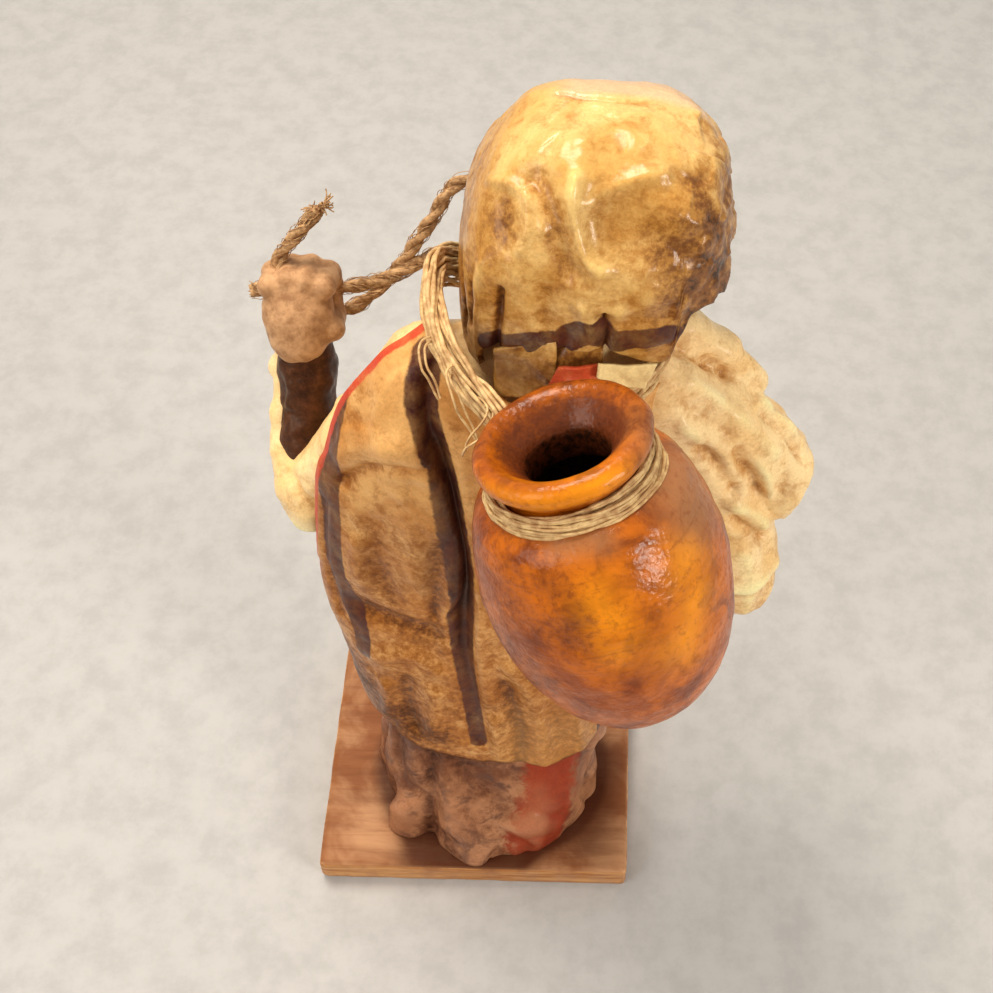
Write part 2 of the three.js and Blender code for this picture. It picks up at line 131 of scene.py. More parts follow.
def crumple(points, size, seed, sharp=9.0):
    """Facets that meet in creases, as stiff paper has once it is crushed: from about -1 to 1."""
    place = points / size
    cell = np.floor(place)
    weights = np.zeros(len(points))
    height = np.zeros(len(points))
    for step in NEIGHBOURS:
        roll = scatter(cell + step, seed, 7)
        away = place - (cell + step + roll[:, :3])
        share = np.exp(-sharp * np.linalg.norm(away, axis=1))
        tilt = ((roll[:, 3:6] * 2 - 1) * away).sum(1)
        height += share * (1.5 * tilt + 0.5 * (roll[:, 6] * 2 - 1))
        weights += share
    return height / weights


def creased(points, size, seed):
    """Crisper facets, bent across by a second, larger crumpling, with a sharp line where they meet."""
    bent = points + 0.25 * size * np.stack([mottle(points, size * 1.3, seed + k) for k in (31, 32, 33)], 1)
    return crumple(bent, size, seed, 22.0)


def curve_through(stops, count):
    """Evenly spread points on a smooth curve through the stops."""
    stops = np.asarray(stops, float)
    padded = np.vstack([2 * stops[0] - stops[1], stops, 2 * stops[-1] - stops[-2]])
    place = np.linspace(0, len(stops) - 1, count)
    i = np.minimum(place.astype(int), len(stops) - 2)
    t = (place - i)[:, None]
    a, b, c, d = (padded[i + k] for k in range(4))
    return 0.5 * (2 * b + (c - a) * t + (2 * a - 5 * b + 4 * c - d) * t**2 + (3 * b - a - 3 * c + d) * t**3)


def away_from(points, line):
    """Distance of each point from a line through the listed places."""
    line = np.atleast_2d(np.asarray(line, float))
    if len(line) == 1:
        return np.linalg.norm(points - line[0], axis=1)
    best = np.full(len(points), 1e9)
    for a, b in zip(line[:-1], line[1:]):
        run = b - a
        t = np.clip((points - a) @ run / (run @ run + 1e-9), 0, 1)
        best = np.minimum(best, np.linalg.norm(points - a - t[:, None] * run, axis=1))
    return best


def near(points, line, width):
    """1 on a line or a place, falling away over about that width."""
    return np.exp(-((away_from(points, line) / width) ** 2))


def smooth(low, high, value):
    """0 up to one end of a range and 1 past the other, with a soft slope between."""
    t = np.clip((value - low) / (high - low), 0, 1)
    return t * t * (3 - 2 * t)


def folded(points, folds, count):
    """How far a table of folds raises each point, and how dark they paint it: mostly painted shade in their
    valleys, with a little stain.
    """
    height, dark = np.zeros(len(points)), np.zeros(len(points))
    for line, width, depth, *stain in folds:
        close = near(points, curve_through(line, count) if len(line) > 1 else line, width)
        height += depth * close
        dark += sum(stain) * close
    return height, dark


def row_at(table, place):
    """A row of a table at places between its rows, on a smooth curve through them all."""
    table = np.asarray(table, float)
    keys, values = table[:, 0], table[:, 1:]
    place = np.clip(np.atleast_1d(place), keys[0], keys[-1])
    slopes = np.empty_like(values)
    slopes[1:-1] = (values[2:] - values[:-2]) / (keys[2:] - keys[:-2])[:, None]
    slopes[0] = (values[1] - values[0]) / (keys[1] - keys[0])
    slopes[-1] = (values[-1] - values[-2]) / (keys[-1] - keys[-2])
    i = np.clip(np.searchsorted(keys, place, side="right") - 1, 0, len(keys) - 2)
    span = (keys[i + 1] - keys[i])[:, None]
    t = (place[:, None] - keys[i][:, None]) / span
    a, b = values[i], values[i + 1]
    lead_in = (t**3 - 2 * t**2 + t) * span * slopes[i]
    lead_out = (t**3 - t**2) * span * slopes[i + 1]
    return (2 * t**3 - 3 * t**2 + 1) * a + lead_in + (3 * t**2 - 2 * t**3) * b + lead_out


def oval(angle, half_width, half_depth, square):
    """Points on an oval of the given squareness, 2 being an ellipse."""
    c, s = np.cos(angle), np.sin(angle)
    power = 2 / square
    return half_width * np.sign(c) * np.abs(c) ** power, half_depth * np.sign(s) * np.abs(s) ** power


# ---- Making meshes ----

# Marks a piece doesn't set: no stain or painted shade, no purple or red paint, no wear or painted
# highlight, no redness.
BLANK = {"stain_and_shade": 0, "purple": 9, "red": 9, "wear_and_highlight": 0, "ruddy": 0}


def piece(name, points, faces, material, marks, stands_for=()):
    """A finished piece from points in millimetres, riding on the part's one body."""
    mesh = bpy.data.meshes.new(name)
    mesh.from_pydata((np.asarray(points) * MM).tolist(), [], np.asarray(faces).tolist())
    for label, values in marks.items():
        layer = mesh.attributes.new(label, "FLOAT", "POINT")
        layer.data.foreach_set("value", np.asarray(values, np.float32))
    build = bmesh.new()
    build.from_mesh(mesh)
    bmesh.ops.remove_doubles(build, verts=build.verts, dist=SAME_PLACE)
    loose = [v for v in build.verts if not v.link_faces]
    bmesh.ops.delete(build, geom=loose, context="VERTS")
    build.to_mesh(mesh)
    build.free()
    mesh.shade_smooth()
    mesh.materials.append(material)
    return settle(in_scene(name, mesh), stands_for)


def paper_piece(name, points, faces, material, marks, stands_for=()):
    """A piece of painted paper: each kind of mark that isn't given is blank all over."""
    blank = {label: np.full(len(points), float(value)) for label, value in BLANK.items()}
    return piece(name, points, faces, material, {**blank, **marks}, stands_for)


def settle(made, stands_for=()):
    """The piece rides on the body and stands for its CAD nodes."""
    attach(made, "root")
    if stands_for:
        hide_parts(*stands_for)
    return made


def both_sides(front, back):
    """A mark on a sheet: its front point by point, and its back all alike."""
    return np.concatenate([front, np.full(len(front), back)])


def grid_normals(grid, wraps):
    """Unit normals of a grid of points, facing along (down x across)."""
    if wraps:
        across = np.roll(grid, -1, 1) - np.roll(grid, 1, 1)
    else:
        across = np.gradient(grid, axis=1)
    down = np.gradient(grid, axis=0)
    normal = np.cross(down, across)
    return normal / np.maximum(np.linalg.norm(normal, axis=2, keepdims=True), 1e-9)


def grid_faces(rows, columns, wraps, shift=0, flip=False):
    """Four-sided faces over a grid of points, joined round if it wraps."""
    i, j = np.meshgrid(np.arange(rows - 1), np.arange(columns if wraps else columns - 1), indexing="ij")
    k = (j + 1) % columns
    quads = np.stack([i * columns + j, (i + 1) * columns + j, (i + 1) * columns + k, i * columns + k], -1)
    quads = quads.reshape(-1, 4) + shift
    return quads[:, ::-1] if flip else quads


def walled(outer, inner, wraps, closed_first=False):
    """Points and faces of a sheet with two sides, from the grids of both sides."""
    rows, columns = outer.shape[:2]
    shift = rows * columns
    faces = [grid_faces(rows, columns, wraps), grid_faces(rows, columns, wraps, shift, True)]
    index = np.arange(shift).reshape(rows, columns)

    def edge(line):
        a, b = line[:-1], line[1:]
        faces.append(np.stack([a, b, b + shift, a + shift], 1))

    first, last = index[0], index[-1]
    if wraps:
        first, last = np.append(first, first[0]), np.append(last, last[0])
    if not closed_first:
        edge(first)
    edge(last[::-1])
    if not wraps:
        edge(index[::-1, 0])
        edge(index[:, -1])
    return np.vstack([outer.reshape(-1, 3), inner.reshape(-1, 3)]), np.vstack(faces)


def press(grid, wraps, relief, passes=1):
    """The grid moved out along its own normals by the relief at each point."""
    for _ in range(passes):
        flat = grid.reshape(-1, 3)
        height = relief(flat).reshape(grid.shape[:2])
        grid = grid + grid_normals(grid, wraps) * (height / passes)[..., None]
    return grid


def carve(field, low, high, step):
    """Points and faces of the surface on which a field of distances is zero."""
    axes = [np.arange(a, b + step, step) for a, b in zip(low, high)]
    spots = np.stack(np.meshgrid(*axes, indexing="ij"), -1)
    values = field(spots.reshape(-1, 3)).reshape(spots.shape[:3])
    shape = np.array(values.shape) - 1
    total = np.zeros((*shape, 3))
    hits = np.zeros(shape)
    for axis in range(3):
        others = [k for k in range(3) if k != axis]
        for p in (0, 1):
            for q in (0, 1):
                begin = [0, 0, 0]
                begin[others[0]], begin[others[1]] = p, q
                end = list(begin)
                end[axis] = 1
                a, b = (values[tuple(slice(o, o + n) for o, n in zip(s, shape))] for s in (begin, end))
                place = spots[tuple(slice(o, o + n) for o, n in zip(begin, shape))].copy()
                crossed = (a < 0) != (b < 0)
                share = np.where(crossed, a / np.where(crossed, a - b, 1), 0)
                place[..., axis] += share * step
                total += np.where(crossed[..., None], place, 0)
                hits += crossed
    used = hits > 0
    index = np.full(shape, -1)
    index[used] = np.arange(used.sum())
    points = total[used] / hits[used][:, None]
    faces = []
    for axis in range(3):
        b, c = (axis + 1) % 3, (axis + 2) % 3
        trim = [slice(1, -1)] * 3
        trim[axis] = slice(0, -1)
        after = [slice(1, -1)] * 3
        after[axis] = slice(1, None)
        one, two = values[tuple(trim)] < 0, values[tuple(after)] < 0
        for flag, flip in ((one & ~two, False), (~one & two, True)):
            spot = np.argwhere(flag)
            if not len(spot):
                continue
            for other in (b, c):
                spot[:, other] += 1
            corners = []
            for p, q in ((0, 0), (1, 0), (1, 1), (0, 1)):
                cell = spot.copy()
                cell[:, b] += p - 1
                cell[:, c] += q - 1
                corners.append(index[tuple(cell.T)])
            quads = np.stack(corners, 1)
            faces.append(quads[:, ::-1] if flip else quads)
    return points, np.vstack(faces)


def relax(points, faces, times, amount=0.5):
    """The points drawn towards their neighbours' middle, a few times over."""
    pairs = np.vstack([faces[:, [k, (k + 1) % 4]] for k in range(4)])
    pairs = np.vstack([pairs, pairs[:, ::-1]])
    one, other = pairs.T
    count = np.maximum(np.bincount(one, minlength=len(points))[:, None], 1)
    for _ in range(times):
        total = np.stack([np.bincount(one, points[other, k], len(points)) for k in range(3)], 1)
        points = points + amount * (total / count - points)
    return points


def point_normals(points, faces):
    """Unit normals at the points, from the faces round each."""
    a, b, c, d = (points[faces[:, k]] for k in range(4))
    flat = np.cross(c - a, d - b)
    add_up = lambda values: sum(np.bincount(faces[:, k], values, len(points)) for k in range(4))
    total = np.stack([add_up(flat[:, axis]) for axis in range(3)], 1)
    return total / np.maximum(np.linalg.norm(total, axis=1, keepdims=True), 1e-9)


# ---- Distances to solid forms, negative inside ----


def merged(a, b, soft):
    """Two forms grown into one with a soft fillet."""
    share = np.clip(0.5 + 0.5 * (b - a) / soft, 0, 1)
    return b + (a - b) * share - soft * share * (1 - share)


def cut_away(a, b, soft):
    """One form with another taken out of it, softly at the edge."""
    return -merged(-a, b, soft)


def egg_shape(points, centre, radii, tip=0, turn=0):
    """An egg of three radii, tipped about X and then turned about Z, in degrees."""
    spin = Matrix.Rotation(math.radians(turn), 3, "Z") @ Matrix.Rotation(math.radians(tip), 3, "X")
    place = (points - np.asarray(centre, float)) @ np.array(spin)
    radii = np.asarray(radii, float)
    far = np.linalg.norm(place / radii, axis=1)
    steep = np.linalg.norm(place / radii**2, axis=1)
    return far * (far - 1) / np.maximum(steep, 1e-6)


def limb_shape(points, stations, soft=2.0):
    """A limb through stations of x, y, z and radius."""
    best = None
    for a, b in zip(stations[:-1], stations[1:]):
        a, b = np.asarray(a, float), np.asarray(b, float)
        run = b[:3] - a[:3]
        t = np.clip((points - a[:3]) @ run / (run @ run), 0, 1)
        far = np.linalg.norm(points - a[:3] - t[:, None] * run, axis=1) - (a[3] + t * (b[3] - a[3]))
        best = far if best is None else merged(best, far, soft)
    return best


def built_up(points, form, steps):
    """A form with eggs (centre, radii) and limbs (stations) joined on or cut away in turn."""
    for join, soft, places in steps:
        part = egg_shape(points, *places) if len(places[0]) == 3 else limb_shape(points, places)
        form = join(form, part, soft)
    return form


# ---- Finishes ----


def dye(red, green, blue):
    """A colour as it looks, from three numbers up to 255."""
    values = [v / 255 for v in (red, green, blue)]
    return [v / 12.92 if v <= 0.04045 else ((v + 0.055) / 1.055) ** 2.4 for v in values] + [1]


VARNISH = dye(190, 150, 105)


class Finish:
    """One material's nodes, laid on a step at a time. Sizes are in millimetres."""

    def __init__(self, name, colour):
        self.material = bpy.data.materials.new(name)
        self.material.use_nodes = True
        self.tree = self.material.node_tree
        self.tree.nodes.clear()
        self.here = self.add("ShaderNodeTexCoord").outputs["Object"]
        self.colour = colour
        self.normal = None

    def add(self, kind, inputs=(), **settings):
        return new_node(self.tree, kind, inputs, settings)

    def stretched(self, centre, turn, shares):
        """Coordinates about a centre, turned, then stretched by a share along each axis."""
        place = {"Vector": self.here, "Location": [c * MM for c in centre], "Rotation": turn}
        moved = self.add("ShaderNodeMapping", place, vector_type="TEXTURE").outputs[0]
        return self.add("ShaderNodeMapping", {"Vector": moved, "Scale": [1 / s for s in shares]}).outputs[0]

    def blotches(self, size, detail=4.0, rough=0.55, warp=0.0, over=None):
        """Cloudy noise of about that size."""
        given = {"Vector": over or self.here, "Scale": 1 / (size * MM), "Detail": detail}
        given.update({"Roughness": rough, "Distortion": warp})
        return self.add("ShaderNodeTexNoise", given).outputs["Fac"]

    def pebbles(self, size, over):
        """Rounded bumps of about that size."""
        given = {"Vector": over, "Scale": 1 / (size * MM), "Smoothness": 0.6}
        return self.add("ShaderNodeTexVoronoi", given, feature="SMOOTH_F1").outputs["Distance"]

    def mark(self, name):
        """A mark that the mesh holds for each point."""
        return self.add("ShaderNodeAttribute", attribute_name=name).outputs["Fac"]

    def sum(self, a, b, kind="ADD"):
        return self.add("ShaderNodeMath", {0: a, 1: b}, operation=kind).outputs[0]

    def times(self, a, b):
        return self.sum(a, b, "MULTIPLY")

    def between(self, value, low, high, to_low=0.0, to_high=1.0):
        """A value taken smoothly from one range to another, and held at both ends."""
        given = {"Value": value, "From Min": low, "From Max": high, "To Min": to_low, "To Max": to_high}
        return self.add("ShaderNodeMapRange", given, interpolation_type="SMOOTHSTEP").outputs[0]

    def blend(self, share, under, over, kind="MIX"):
        """One colour over another, as far as the share says."""
        given = {"Factor": share, 6: under, 7: over}
        return self.add("ShaderNodeMix", given, data_type="RGBA", blend_type=kind).outputs[2]

    def glaze(self, share, over):
        """A colour laid over those that are there, as far as the share says."""
        self.colour = self.blend(share, self.colour, over)

    def stain(self, value, low, high, over, most=1.0):
        """A colour that comes in as a value goes through a range."""
        self.glaze(self.between(value, low, high, 0.0, most), over)

    def raise_by(self, height, millimetres):
        """A bump on top of those that are there."""
        given = {"Distance": millimetres * MM, "Strength": 1.0, "Height": height}
        if self.normal is not None:
            given["Normal"] = self.normal
        self.normal = self.add("ShaderNodeBump", given).outputs[0]

    def done(self, rough, **plain):
        """The finished material, once every colour and bump is laid on."""
        given = {"Base Color": self.colour, "Roughness": rough}
        given.update({key.replace("_", " "): value for key, value in plain.items()})
        if self.normal is not None:
            given.update({"Normal": self.normal, "Coat Normal": self.normal})
        shader = self.add("ShaderNodeBsdfPrincipled", given)
        self.add("ShaderNodeOutputMaterial", {"Surface": shader.outputs[0]})
        return self.material

    def varnished(self, rough, coat, coat_rough, gloss=0.3):
        coated = {"Coat_Weight": coat, "Coat_Roughness": coat_rough}
        return self.done(rough, Specular_IOR_Level=gloss, Specular_Tint=VARNISH, **coated)


def lacquered_paper(name, pale, tan, honey, brown, shine, wear, ruddy=False):
    """Varnished brown paper: blotched, with stains and painted shade in its folds, painted highlights on
    its ridges, and painted bands where the marks say.
    """
    pale, tan, honey, brown = dye(*pale), dye(*tan), dye(*honey), dye(*brown)
    paper = Finish(name, tan)
    broad = paper.blotches(15, 3, 0.6, 0.6)
    small = paper.blotches(3.6, 6, 0.7, 0.4)
    fine = paper.blotches(1.3, 5, 0.7)
    paper.stain(broad, 0.36, 0.64, pale)
    paper.glaze(paper.times(paper.between(small, 0.46, 0.72), wear), honey)
    paper.stain(fine, 0.6, 0.74, brown, 0.35)
    if ruddy:
        paper.stain(paper.blotches(6, 4, 0.6, 0.8), 0.48, 0.66, dye(78, 50, 44), 0.8)
        clay = paper.sum(paper.mark("ruddy"), paper.between(small, 0.3, 0.7, -0.25, 0.25))
        paper.stain(clay, 0.35, 0.75, dye(150, 50, 26), 0.9)
    # Stain and painted shade from the mark each point holds: honey, then brown, then near-black shade where
    # it is deepest.
    stain_and_shade = paper.mark("stain_and_shade")
    stained_and_shaded = paper.sum(stain_and_shade, paper.between(small, 0.3, 0.72, -0.14, 0.14))
    stained_and_shaded = paper.sum(stained_and_shaded, paper.between(fine, 0.35, 0.68, -0.07, 0.07))
    stained_and_shaded = paper.sum(stained_and_shaded, paper.times(stain_and_shade, paper.between(fine, 0.35, 0.65, -0.22, 0.16)))
    paper.stain(stained_and_shaded, -0.05, 0.6, honey, 0.85)
    paper.stain(stained_and_shaded, 0.4, 1.0, brown, 0.9)
    paper.stain(stained_and_shaded, 0.95, 1.5, dye(34, 17, 10), 0.9)
    # Painted highlight on the ridges, paler than the palest paper, together with rubbed wear.
    paper.glaze(paper.times(paper.mark("wear_and_highlight"), 0.65), [min(1, v * 1.3) for v in pale[:3]] + [1])
    paper.glaze(paper.times(paper.mark("dust"), 0.6), dye(226, 188, 158))
    ragged = paper.between(paper.blotches(1.6, 3), 0.3, 0.7, -0.12, 0.12)
    faded = paper.between(paper.blotches(5, 5, 0.72), 0.34, 0.72, 1.0, 0.7)
    purple = paper.blend(paper.between(small, 0.35, 0.7), dye(60, 27, 29), dye(88, 44, 34))
    for label, low, high, paint in (("purple", -0.25, 0.2, purple), ("red", -0.2, 0.25, dye(200, 66, 42))):
        inside = paper.between(paper.sum(paper.mark(label), ragged), low, high, 1.0, 0.0)
        paper.glaze(paper.times(inside, faded), paint)
    grain = paper.between(paper.blotches(0.5, 3, 0.7), 0.35, 0.75, 0.9, 1.06)
    paper.colour = paper.blend(1.0, paper.colour, grain, "MULTIPLY")
    paper.raise_by(paper.blotches(2.6, 5, 0.6, 0.5), 0.13)
    paper.raise_by(fine, 0.05)
    return paper.varnished(paper.between(small, 0.3, 0.75, 0.3, 0.55), shine, 0.2)


def painted_skin(name, lit, deep):
    """Brown water paint over a modelled paste, dull, with painted shade in its creases and dark painted
    lines where the marks say.
    """
    skin = Finish(name, dye(*lit))
    small = skin.blotches(2.6, 6, 0.65)
    skin.stain(small, 0.35, 0.7, dye(*deep))
    # Painted shade in creases and hollows, and dark painted lines, from the mark each point holds.
    skin.stain(skin.mark("stain_and_shade"), 0.1, 1.0, dye(52, 30, 20), 0.9)
    skin.raise_by(skin.blotches(0.9, 5, 0.65), 0.12)
    return skin.varnished(skin.between(small, 0.3, 0.7, 0.42, 0.62), 0.08, 0.35)


def jug_wood():
    """Turned wood under an orange-brown varnish, darker in patches, with painted shade and painted light
    where the marks say, and finely pebbled.
    """
    turn = Vector((0, 0, 1)).rotation_difference(Vector(JUG["axis"]).normalized()).to_euler()
    wood = Finish("jug varnish", dye(146, 66, 6))
    along = wood.stretched(JUG["belly"], turn, (1, 1, 1))
    rings = wood.stretched(JUG["belly"], turn, (6, 6, 0.5))
    fleck = wood.blotches(1.5, 5, 0.7, 0.3, along)
    turned = wood.blotches(2.2, 4, 0.6, 0.0, rings)
    # Stain and painted shade from the mark each point holds, near-black where it is deepest.
    soiled_and_shaded = wood.sum(wood.mark("stain_and_shade"), wood.between(fleck, 0.35, 0.7, -0.1, 0.1))
    wood.stain(wood.blotches(13, 4, 0.6, 0.8, along), 0.36, 0.62, dye(196, 100, 6))
    wood.stain(wood.blotches(6.5, 5, 0.62, 0.5, along), 0.46, 0.68, dye(110, 44, 4), 0.85)
    # Painted light: bright orange where light falls on the jug.
    wood.glaze(wood.times(wood.mark("painted_light"), 0.9), dye(244, 150, 18))
    wood.stain(wood.mark("veil"), 0.0, 1.0, dye(156, 108, 70), 0.85)
    wood.stain(fleck, 0.48, 0.7, dye(120, 50, 10), 0.4)
    wood.stain(soiled_and_shaded, 0.05, 0.8, dye(92, 42, 20), 0.95)
    wood.stain(soiled_and_shaded, 0.75, 1.1, dye(16, 8, 5), 0.96)
    wood.stain(turned, 0.56, 0.74, dye(96, 40, 16), 0.3)
    wood.raise_by(wood.pebbles(0.75, along), 0.07)
    wood.raise_by(turned, 0.05)
    wood.raise_by(fleck, 0.1)
    return wood.varnished(wood.between(fleck, 0.3, 0.7, 0.3, 0.55), 0.4, 0.16, 0.2)


def base_wood():
    """A pine block: stained brown on top, with painted shade there round the figure's foot, bare and
    grained down its sides.
    """
    wood = Finish("base wood", dye(188, 138, 98))
    grain_over = wood.stretched((0, 0, 0), (0, 0, 0), (12, 1, 1))
    grain = wood.blotches(2.6, 6, 0.62, 0.7, grain_over)
    bare = wood.blend(wood.between(grain, 0.38, 0.66), dye(204, 150, 94), dye(156, 98, 54))
    wood.stain(wood.blotches(17, 4, 0.6, 0.5), 0.36, 0.66, dye(140, 84, 50))
    wood.stain(grain, 0.4, 0.7, dye(104, 56, 34), 0.35)
    # Painted shade on the top round the figure's foot, from the mark each point holds.
    wood.stain(wood.mark("stain_and_shade"), 0.0, 1.0, dye(70, 32, 20), 0.92)
    stained = wood.colour
    patch = wood.between(wood.blotches(7, 5, 0.65), 0.42, 0.6)
    wood.colour = wood.blend(wood.times(patch, 0.65), bare, stained)
    wood.stain(wood.mark("top"), 0.35, 0.65, stained)
    wood.stain(wood.mark("worn"), 0.2, 0.9, dye(214, 164, 118), 0.7)
    wood.raise_by(grain, 0.18)
    wood.raise_by(wood.blotches(0.6, 3, 0.6, 0.0, grain_over), 0.05)
    return wood.varnished(wood.between(grain, 0.3, 0.7, 0.38, 0.6), 0.05, 0.3)


def fibre(name, pale, deep, size, rough):
    """Dry plant fibre, streaked, each strand a little off the next in colour."""
    straw = Finish(name, dye(*pale))
    streak = straw.blotches(size, 4, 0.6, 0.2)
    broad = straw.blotches(size * 6, 3, 0.6)
    straw.stain(streak, 0.34, 0.68, dye(*deep))
    straw.stain(broad, 0.45, 0.75, dye(*deep), 0.5)
    straw.raise_by(straw.blotches(size * 0.4, 3, 0.6), 0.06)
    return straw.done(rough, Specular_IOR_Level=0.35)


# ---- Driving dimensions, as the CAD part has them ----

BASE = {"width": 72, "depth": 59, "height": 8.5}
# Height, middle in X and Y, half width, half depth, and how deep the flutes are.
BODY_RINGS = [
    [8.6, -2, 3.4, 24.6, 23.4, 1.6], [18, -2.4, 3, 24.6, 21, 1.3], [30, -2.8, 2.2, 24.2, 16.6, 0.9],
    [42, -3.6, 1.2, 23.4, 13, 0.5], [54, -5.8, 0.4, 20.8, 12.2, 0.3], [68, -9, -0.4, 17.6, 11.6, 0.2],
    [84, -12, -1.5, 15.2, 11, 0], [105, -15, -3.2, 16.4, 11.2, 0], [128, -18, -5.2, 18.6, 11.6, 0],
    [144, -20, -7, 19.6, 11, 0], [152, -21, -8.4, 15.2, 9.4, 0], [157, -21.5, -9.6, 8.4, 7.8, 0],
    [168, -22.2, -12.5, 7.2, 7.4, 0],
]
# Limbs: x, y, z and radius at each station.
LEFT_ARM = [(-8, -7, 148, 9.5), (4, -6, 146, 9.2), (18, -7, 126, 7.6), (29, -8.5, 108, 5.9)]
LEFT_FOREARM = [
    (29.4, -9.5, 108, 4.6), (30.3, -14.6, 115, 5), (29.9, -22.5, 127, 5.2), (30.4, -27, 135, 5.2),
]
LEFT_SLEEVE = [(28.8, -7.6, 107, 6.2), (31.8, -8.8, 108.5, 5.2)]
LEFT_STRIP = [
    (32, -8.6, 107.5, 4.4), (34, -12.6, 113, 3.2), (34.5, -17.8, 119.5, 2.7), (34.3, -22.8, 126.5, 2.5),
    (33.4, -25.6, 131.5, 2.2),
]
RIGHT_ARM = [
    (-34, -7, 147, 9.5), (-44, -6.6, 133, 8.6), (-51, -4.6, 112, 7.6), (-52.5, -3.2, 100, 8.2),
    (-53.8, -2.6, 90, 7.8),
]
RIGHT_FOREARM = [(-52, -7, 96, 6), (-49, -16, 101, 5.8), (-40, -31, 116, 5.2)]
RIGHT_SLEEVE = [
    (-33, -8, 146, 10.4), (-43, -8.5, 137, 9.8), (-52.5, -9, 126.5, 8.4), (-61.5, -8.5, 116.8, 7.6),
    (-67, -8.5, 110, 7.4),
]
SLEEVE_ROLL = [
    (-31, -10, 158.5, 3), (-38, -10.6, 155.6, 3.1), (-46, -11.2, 149.4, 2.9), (-52.4, -11.4, 141.5, 2),
]
SHAWL = {
    "centre": (-22.6, -16.0),
    "half": (22.4, 19.8),
    "spring": 166,
    "crown": 196.8,
    "lean": (-2.6, -0.6),
    "square": 3.0,
    "dome": 2.6,
    "waist": 0.07,
}
# Share of the way down, middle, reach to the left, right and back, and height at the left, back and right.
SERAPE_ROWS = [
    [0, -18, -6.5, 20.2, 19, 14, 164.5, 152, 154], [0.1, -17.5, -4.6, 29, 20, 14.4, 155, 142, 144],
    [0.2, -17, -3, 37, 21, 14.4, 145, 132, 134], [0.33, -16, -1.5, 40.6, 22, 14.2, 130, 118, 120],
    [0.5, -14.5, -0.5, 42.2, 23, 13.6, 110, 99, 101], [0.68, -12, 0, 40.6, 24, 14, 89, 79, 81],
    [0.84, -9, 0.5, 35.6, 25, 15, 71, 61, 64], [1, -5, 1, 29.7, 26.8, 16.4, 51, 42, 46],
]
JUG = {"belly": (-26.6, 31.0, 144.8), "axis": (0.3, -0.27, 1.0), "radius": 19.9, "below": 31.0}
STRAP_ROUTE = [
    (-12, 19.2, 160.6), (-8.6, 14.6, 162.4), (-4.6, 10.4, 163.4), (-1, 6, 164.8), (1.5, 0.6, 166.4),
    (2.6, -6, 166.2), (3, -12.6, 164), (1, -19.8, 158.8), (-8.6, -24, 152.6), (-20, -25, 149.6),
    (-30.6, -21.6, 152.6), (-35.6, -14.6, 156.6), (-36, -7, 159), (-33.6, -0.6, 157.6),
    (-30, 5.2, 156.8), (-26.4, 10.4, 158.6), (-22.6, 15, 161.6),
]
TWINE_UPPER = [
    (31.5, -28.5, 133), (22, -34.5, 131.2), (15, -39, 135.6), (7.6, -41, 147), (1.5, -43, 156),
    (-8, -46.6, 150), (-22, -46, 136), (-34, -39, 123.5),
]
TWINE_LOWER = [
    (31.5, -28.5, 138.5), (24, -33, 137.4), (15.6, -36.2, 137.4), (3, -42, 139.6), (-12, -45, 133),
    (-24, -43, 125), (-34, -39, 119),
]
TWINE_END = [
    (31.5, -28.5, 137), (33.4, -30.6, 143.4), (33.6, -32.4, 146.4), (29.6, -33.6, 151.6),
    (25.6, -34.6, 156.4),
]
TWINE_NUB = [(34, -28.8, 141), (37, -29, 141.2), (39.2, -29.2, 140.4)]

axis_up = Vector(JUG["axis"]).normalized()
JUG_TURN = np.array(Vector((0, 0, 1)).rotation_difference(axis_up).to_matrix())
JUG_MIDDLE = np.array(JUG["belly"])

# ---- The wooden base ----


def make_base():
    """The block, with worn corners and painted shade on its top round the figure's feet."""
    w, d, h = BASE["width"] / 2, BASE["depth"] / 2, BASE["height"]
    step, rounding = 0.9, 1.0

    def block(points):
        q = np.abs(points - [0, 0, h / 2]) - np.array([w, d, h / 2]) + rounding
        outside = np.linalg.norm(np.maximum(q, 0), axis=1)
        return outside + np.minimum(q.max(1), 0) - rounding

    points, faces = carve(block, (-w - 2, -d - 2, -1.5 * step), (w + 2, d + 2, h + 2 * step), step)
    normals = point_normals(points, faces)
    corner = smooth(0.85, 0.6, np.abs(normals).max(1))
    dents = 0.22 * mottle(points, 4, 5) * (1 - corner) * 0.5
    chips = corner * 0.35 * smooth(0, 1, mottle(points, 3.5, 8))
    points = np.clip(points + normals * (dents - chips)[:, None], (-w, -d, 0), (w, d, h))
    ground = points * [1, 1, 0]
    # Painted shade on the top, along the skirt's foot behind it and on the figure's right, and in a ring
    # all round its foot.
    shade_round_skirt = near(ground, [(-8, 28, 0), (-2, 24, 0), (12, 26, 0)], 7)
    shade_round_skirt = shade_round_skirt + 0.7 * near(ground, [(-26, 20, 0), (-30, 0, 0)], 9)
    under = smooth(1.12, 0.9, np.hypot((points[:, 0] + 2) / 27, (points[:, 1] - 3) / 25.5))
    stain_and_shade = np.clip(shade_round_skirt + under, 0, 1) * (normals[:, 2] > 0.4)
    marks = {"top": smooth(0.4, 0.8, normals[:, 2]), "stain_and_shade": stain_and_shade, "worn": corner}
    piece("base_block", points, faces, base_wood(), marks, ["base"])


# ---- Skirt, shirt, arms ----

